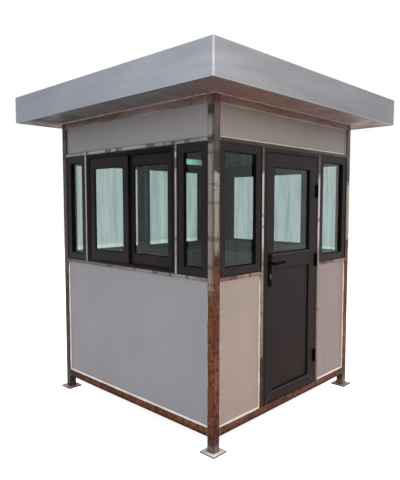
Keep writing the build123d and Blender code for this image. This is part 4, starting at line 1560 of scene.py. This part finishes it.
@dataclass
class WallPanels:
    """The sheet panels of the four walls and the sealant run round each of them: cream low
    down, over the windows pale on the door side and the back and dull on the others."""

    low_bead: Bead = Bead(width=0.011, height=0.011, waver=0.22, shares=(1.0, 0.8, 0.25, 0.8))
    high_bead: Bead = Bead(width=0.010, height=0.010, waver=0.22, shares=(1.0, 0.3, 0.1, 0.3))
    dull_bead: Bead = Bead(width=0.005, height=0.005, waver=0.22, shares=(1.0, 0.6, 0.5, 0.6))

    def seal(self, wall: Wall, name: str, node: str, bead: Bead, stuff: Finish) -> None:
        """A bead of some stuff round every panel in a node of the wall, outside."""
        shells = [bead.round(Rectangle.of_box(wall, box)) for box in solids_of(node)]
        make_piece(wall.node(name), shells, stuff, "booth")

    def build(self) -> None:
        """Dresses and seals the panels."""
        for wall in Wall:
            low, high = wall.low_panels, wall.node("upper_panel")
            dress({low: SIDE_SKIN if wall.slides else FRONT_SKIN,
                   high: SIDE_HEAD_SKIN if wall.slides else FRONT_HEAD_SKIN})
            self.seal(wall, "low_sealant", low, self.low_bead, SEALANT)
            self.seal(wall, "high_sealant", high,
                      self.dull_bead if wall.slides else self.high_bead,
                      DULL_SEALANT if wall.slides else PALE_SEALANT)


@dataclass
class Glazing:
    """Rubber gaskets on both sides of the panes, and the seals round the frames.

    A reveal is how far a pane's face lies behind the front of its glazing bead. The fixed
    panes' outer faces all lie in one plane, which tells them from the sashes' panes.
    """

    hidden_edge: float = 0.009
    fixed_pane: float = 0.897
    fixed_reveal: float = 0.0205
    sash_reveal: float = 0.007
    inner_lip: float = 0.004
    gasket: Gasket = Gasket(width=0.0045, height=0.004, spacing=1.0, curve_points=4)
    seam: Seam = Seam()
    seal: Bead = Bead(width=0.0088, height=0.004, spacing=0.1, waver=0.1)
    tube_face: float = 0.925
    lap: float = 0.004
    proud: float = 0.0006

    def gaskets(self, wall: Wall, node: str, reveal: float | None = None) -> list[Shell]:
        """One gasket round each face of each pane in a node.

        Args:
            wall: the wall that the panes are in.
            node: the node of the panes.
            reveal: their reveal, where it isn't that of a window.

        Returns:
            The gaskets.
        """
        shells = []
        for box in solids_of(node):
            rim = Rectangle.of_box(wall, box)
            fixed = abs(rim.face - self.fixed_pane) < SINK
            depth = reveal or (self.fixed_reveal if fixed else self.sash_reveal)
            outer = replace(self.gasket, height=depth)
            shells.append(outer.round(rim.inset(self.hidden_edge)))
            inner = replace(self.gasket, height=self.inner_lip, bevel=0.0, lap=0.0)
            rim = Rectangle.of_box(wall, box, Face.INNER).inset(self.hidden_edge)
            shells.append(inner.round(rim, Face.INNER))
        return shells

    def frame_seals(self, wall: Wall, node: str) -> list[Shell]:
        """Black bead round each frame in a node: it fills the step from the frame's face to
        the tubes' and laps over their rounded edges.

        Args:
            wall: the wall that the frames are in.
            node: the node of the frames.

        Returns:
            The beads.
        """
        shells = []
        for box in solids_of(node):
            rim = Rectangle.of_box(wall, box)
            seal = replace(self.seal, height=self.tube_face - rim.face + self.proud)
            shells.append(seal.round(rim.inset(-self.lap)))
        return shells


@dataclass
class Windows:
    """The fixed lights of all four walls and the sliding windows of the two sides."""

    glazing: Glazing
    fixed_face: float = 0.038

    def build(self) -> None:
        """Dresses the windows, and gives them gaskets, mitre lines on the fixed frames and
        seals."""
        for wall in Wall:
            frames, glass, track = (wall.fixed_frames, wall.node("window_glass"),
                                    wall.node("sliding_window_frame"))
            dress({frames: FRAME_COAT if wall.slides else END_COAT, glass: PANE})
            lines = [line for box in solids_of(frames) for line in
                     self.glazing.seam.mitres(Rectangle.of_box(wall, box), self.fixed_face)]
            seals = self.glazing.frame_seals(wall, frames)
            if wall.slides:
                dress({track: TRACK_SHADE_COAT, wall.node("outer_sash"): SASH_COAT,
                       wall.node("inner_sash"): SASH_COAT})
                seals += self.glazing.frame_seals(wall, track)
            make_piece(wall.node("window_gaskets"), self.glazing.gaskets(wall, glass), RUBBER,
                       "booth")
            make_piece(wall.node("frame_mitres"), lines, FRAME_SEAM, "booth")
            make_piece(wall.node("frame_seals"), seals, BLACK_SEALANT, "booth")


@dataclass
class Door:
    """The half-glazed door with its lever, lock and hinges."""

    glazing: Glazing
    glass_reveal: float = 0.016
    panel_reveal: float = 0.0115
    stile: float = 0.088
    leaf_bead: float = 0.012
    arris: float = 0.0013
    screw_radius: float = 0.0042
    screw_rise: float = 0.0014
    screw_fall: float = 0.7  # share of the rise that is lost at the rim
    screw_rings: tuple[float, ...] = (0.0, 0.18, 0.36, 0.6, 0.85, 1.0)
    screw_slot: CrossSlot = CrossSlot(half=0.000714, reach=0.002604, depth=0.0007)
    round_steps: int = 20
    plate_screw_drop: float = 0.014
    hinge_plate_thickness: float = 0.003
    hinge_screw_inset: float = 0.0054
    hinge_screws: tuple[float, float, float] = (-0.04, 0.0, 0.04)
    plug_radius: float = 0.0062
    plug_drop: float = 0.0085
    plug_rise: float = 0.0012

    def screw(self, centre: np.ndarray, out: np.ndarray) -> Shell:
        """A low domed screw head with a cross slot.

        Args:
            centre: its middle, on the surface.
            out: unit vector out of the surface.

        Returns:
            A profile whose height falls as the square of the radius, spun round its axis.
        """
        share = np.array(self.screw_rings)
        dome = np.stack([self.screw_radius * share,
                         self.screw_rise * (1 - self.screw_fall * share ** 2)], axis=1)
        foot = [[self.screw_radius, -SINK / 3], [0.0, -SINK / 3]]
        return turned(np.concatenate([dome, foot]), self.round_steps, centre, out,
                      self.screw_slot)

    def plug(self, centre: np.ndarray, out: np.ndarray) -> Shell:
        """The lock's round turning plug.

        Args:
            centre: its middle, on the end of the cylinder.
            out: unit vector out of the cylinder.

        Returns:
            A flat disc with a bevelled rim: its profile spun round its axis.
        """
        radius, rise = self.plug_radius, self.plug_rise
        profile = np.array([[0.0, rise], [0.3 * radius, rise], [0.75 * radius, rise],
                            [0.92 * radius, rise / 1.2], [radius, rise / 2],
                            [radius, -rise / 2], [0.0, -rise / 2]])
        return turned(profile, self.round_steps, centre, out)

    def fix_hinges(self, node: str, body: str, inset: float) -> None:
        """Three screws in each hinge plate of a node.

        Args:
            node: the node of the plates.
            body: the body that they are on.
            inset: how far the screws are from a plate's left edge, or below 0 from its right.
        """
        front = box_of("door_leaf")[0][1] - self.hinge_plate_thickness
        heads = []
        for low, high in solids_of(node):
            across = low[0] + inset if inset > 0 else high[0] + inset
            middle = (low[2] + high[2]) / 2
            heads += [self.screw(np.array([across, front, middle + rise]), Wall.FRONT.outward)
                      for rise in self.hinge_screws]
        make_piece(node + "_screws", heads, BLACK_METAL, body)

    def fix_plates(self) -> None:
        """Screws at both ends of the two handle plates, and the lock's turning plugs."""
        heads, plugs = [], []
        lock = box_of("door_lock_cylinder")
        for low, high in solids_of("door_handle_plates"):
            outer = low[1] < box_of("door_leaf")[0][1]
            out = (Wall.FRONT if outer else Wall.BACK).outward
            face, end = (low[1], lock[0][1]) if outer else (high[1], lock[1][1])
            heads += [self.screw(np.array([(low[0] + high[0]) / 2, face, level]), out)
                      for level in (low[2] + self.plate_screw_drop,
                                    high[2] - self.plate_screw_drop)]
            plugs.append(self.plug(np.array([(lock[0][0] + lock[1][0]) / 2, end,
                                             lock[1][2] - self.plug_drop]), out))
        make_piece("handle_plate_screws", heads, BLACK_METAL, "door")
        make_piece("lock_plugs", plugs, NICKEL, "door")

    def trim(self) -> None:
        """Gaskets at the glass and the panel, the leaf's mitre lines, and pale lines of painted
        highlight on the two foot mitres and on the upper arrises of the rails under the glass and
        the panel."""
        leaf = Rectangle.of_box(Wall.FRONT, box_of("door_leaf"))
        mitres = self.glazing.seam.mitres(leaf, self.stile)
        # the two foot mitres take the pale painted highlight
        lines = mitres[:2]
        for name, node, reveal in (("door_glass_gaskets", "door_glass", self.glass_reveal),
                                   ("door_panel_gaskets", "door_lower_panel",
                                    self.panel_reveal)):
            make_piece(name, self.glazing.gaskets(Wall.FRONT, node, reveal), RUBBER, "door")
            pane = Rectangle.of_box(Wall.FRONT, box_of(node))
            rim = pane.inset(self.glazing.hidden_edge - self.leaf_bead - self.arris)
            lines.append(self.glazing.seam.foot_line(replace(rim, face=leaf.face)))
        make_piece("leaf_head_mitres", mitres[2:], LEAF_HEAD_SEAM, "door")
        make_piece("leaf_highlight_lines", lines, LEAF_HIGHLIGHT, "door")

    def build(self) -> None:
        """Dresses the door, trims it and fixes its fittings."""
        dress({"door_leaf": DOOR_COAT, "door_lower_panel": DOOR_COAT, "door_frame": DOOR_COAT,
               "door_glass": PANE, "door_handle_plates": BLACK_METAL,
               "door_lever": BLACK_METAL, "hinge_frame_halves": BLACK_METAL,
               "hinge_leaf_halves": BLACK_METAL, "door_lock_cylinder": NICKEL})
        self.trim()
        self.fix_hinges("hinge_leaf_halves", "door", self.hinge_screw_inset)
        self.fix_hinges("hinge_frame_halves", "booth", -self.hinge_screw_inset)
        self.fix_plates()


@dataclass
class Roof:
    """The overhanging flat roof: four fascias, a soffit and a cover, and the bead in the
    corner between the soffit and the walls."""

    eaves_bead: Bead = Bead(width=0.009, height=0.009)
    steps_a_side: int = 40
    waver: float = 0.125
    growth: tuple[float, float] = (23.0, 31.0)

    def dress(self) -> None:
        """Silver fascias, a dull soffit and a jointed cover."""
        (_, _, foot), (ends, _, _) = box_of("front_fascia")
        sides = box_of("left_fascia")[1][1]
        side_fascia = replace(SIDE_FASCIA, half=sides, foot=foot)
        end_fascia = replace(END_FASCIA, half=ends, foot=foot)
        dress({wall.node("fascia"): side_fascia if wall.slides else end_fascia
               for wall in Wall})
        dress({"roof_soffit": SOFFIT_SHEET, "roof_cover": ROOF_SHEET})

    def seal(self) -> None:
        """The bead at the eaves.

        Its path is the booth's square outline at the eaves. The profile's first direction
        points down and its second out, mitred at the corners. Between corners its size is 1 +
        waver * the sine of a way that grows along X and Y.
        """
        (left, front, _), (right, back, eaves) = box_of("corner_posts")
        corners = np.array([[left, front, eaves], [right, front, eaves],
                            [right, back, eaves], [left, back, eaves]])
        loop = Loop.along(corners, np.full(4, self.steps_a_side))
        out = loop.mitred(np.array([wall.outward for wall in (
            Wall.FRONT, Wall.RIGHT, Wall.BACK, Wall.LEFT)]))
        down = np.repeat(-UP[None, :], len(out), axis=0)
        swing = np.sin(loop.places[:, :2] @ self.growth) * (loop.share != 0)
        shell = sweep(loop.places, down, out, self.eaves_bead.profile(),
                      swell=1.0 + self.waver * swing)
        make_piece("eaves_sealant_bead", [shell], EAVES_SEALANT, "booth")

    def build(self) -> None:
        """Dresses and seals the roof."""
        self.dress()
        self.seal()


@dataclass
class Inside:
    """The floor, its bars, the ceiling and the lamp on the back wall, whose glow is painted light.
    """

    def build(self) -> None:
        """Finishes of what shows through the glass, the open door and from below."""
        dress({"floor_deck": DECK_BOARD, "floor_joists": BAR_PRIMER, "ceiling_panel": LINING,
               "wall_lamp": PAINTED_GLOW})


# ------------------------------------------------------------------------------ studio
@dataclass(frozen=True)
class Softbox:
    """A large soft lamp: where it hangs, its side, its power and its colour."""

    name: str
    place: tuple[float, float, float]
    side: float
    power: float
    colour: Colour = WHITE

    def hang(self, aim: tuple[float, float, float]) -> None:
        """Makes the lamp.

        Args:
            aim: the place that it is turned to.
        """
        lamp = bpy.data.lights.new(self.name, "AREA")
        lamp.size = self.side
        lamp.energy = self.power
        lamp.color = linear(self.colour)[:3]
        holder = bpy.data.objects.new(self.name, lamp)
        way = Vector(aim) - Vector(self.place)
        holder.location = self.place
        holder.rotation_euler = way.to_track_quat("-Z", "Y").to_euler()
        bpy.context.scene.collection.objects.link(holder)


@dataclass
class Studio:
    """A pale floor, a white surround, soft lamps and the camera."""

    camera_place: tuple[float, float, float] = (-3.30214, -3.08228, 1.69983)
    camera_turn: tuple[float, float, float] = (85.7314, 0.0, -46.1402)
    lens: float = 36.90
    film: float = 36.0
    floor_half: float = 14.0
    floor_glow: float = 0.84
    glow_through_glass: float = 0.5
    paper: Stops = ((0.3, (226, 226, 226)), (0.7, (232, 232, 232)))
    sky: tuple[float, float, float, float] = (0.97, 0.985, 1.0, 1.0)  # linear light
    sky_strength: float = 0.62
    aim: tuple[float, float, float] = (0.0, 0.0, 1.2)
    softboxes: tuple[Softbox, ...] = (
        Softbox("front_softbox", (2.6, -6.6, 5.2), 4.0, 190.0, (255, 250, 246)),
        Softbox("left_softbox", (-6.8, 1.4, 4.6), 4.0, 120.0, (248, 251, 255)),
        Softbox("back_softbox", (1.6, 7.0, 5.0), 4.0, 150.0),
        Softbox("right_softbox", (7.0, 0.6, 4.6), 4.0, 120.0),
    )

    def surround(self) -> None:
        """A world that is white where it is seen and lights the booth at a plain level."""
        world = bpy.data.worlds.new("surround")
        bpy.context.scene.world = world
        recipe = Recipe(world)
        white = recipe.add("ShaderNodeBackground", {"Color": linear(WHITE)})
        dim = recipe.add("ShaderNodeBackground", {"Color": self.sky,
                                                  "Strength": self.sky_strength})
        mixed = recipe.add("ShaderNodeMixShader", {0: recipe.seen(), 1: dim.outputs[0],
                                                   2: white.outputs[0]})
        recipe.output(mixed.outputs[0], "World")

    def floor(self) -> None:
        """A pale floor that keeps the booth's soft shadow: light paper, with a glow added
        only where it is seen, so that it meets the white surround without an edge."""
        half = self.floor_half
        mesh = bpy.data.meshes.new("studio_floor")
        mesh.from_pydata([(-half, -half, 0), (half, -half, 0), (half, half, 0), (-half, half, 0)],
                         [], [(0, 1, 2, 3)])
        paper = bpy.data.materials.new("floor_paper")
        recipe = Recipe(paper)
        diffuse = recipe.add("ShaderNodeBsdfDiffuse", {
            "Color": recipe.noise(0.5).ramp(self.paper)})
        glow = recipe.add("ShaderNodeEmission", {
            "Strength": recipe.seen(self.glow_through_glass) * self.floor_glow})
        both = recipe.add("ShaderNodeAddShader", {0: diffuse.outputs[0], 1: glow.outputs[0]})
        recipe.output(both.outputs[0])
        mesh.materials.append(paper)
        floor = bpy.data.objects.new("studio_floor", mesh)
        bpy.context.scene.collection.objects.link(floor)

    def camera(self) -> None:
        """A camera at a standing person's eye, before the corner by the door."""
        lens = bpy.data.cameras.new("camera")
        lens.lens = self.lens
        lens.sensor_width = self.film
        holder = bpy.data.objects.new("camera", lens)
        holder.location = self.camera_place
        holder.rotation_euler = tuple(math.radians(angle) for angle in self.camera_turn)
        bpy.context.scene.collection.objects.link(holder)
        bpy.context.scene.camera = holder

    def build(self) -> None:
        """Sets the stage, hangs the lamps and places the camera."""
        bpy.context.scene.view_settings.view_transform = "Standard"
        self.surround()
        self.floor()
        for softbox in self.softboxes:
            softbox.hang(self.aim)
        self.camera()


def main() -> None:
    """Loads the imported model, then builds the studio and every sub-assembly in order."""
    logging.basicConfig(level=logging.INFO, format="%(name)s %(message)s")
    for leftover in list(bpy.data.objects):
        bpy.data.objects.remove(leftover)
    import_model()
    Studio().build()
    glazing = Glazing()
    for assembly in (SteelFrame(), WallPanels(), Windows(glazing), Door(glazing), Roof(),
                     Inside()):
        assembly.build()
        log.info("%s is finished", type(assembly).__name__)


if __name__ == "__main__":
    main()
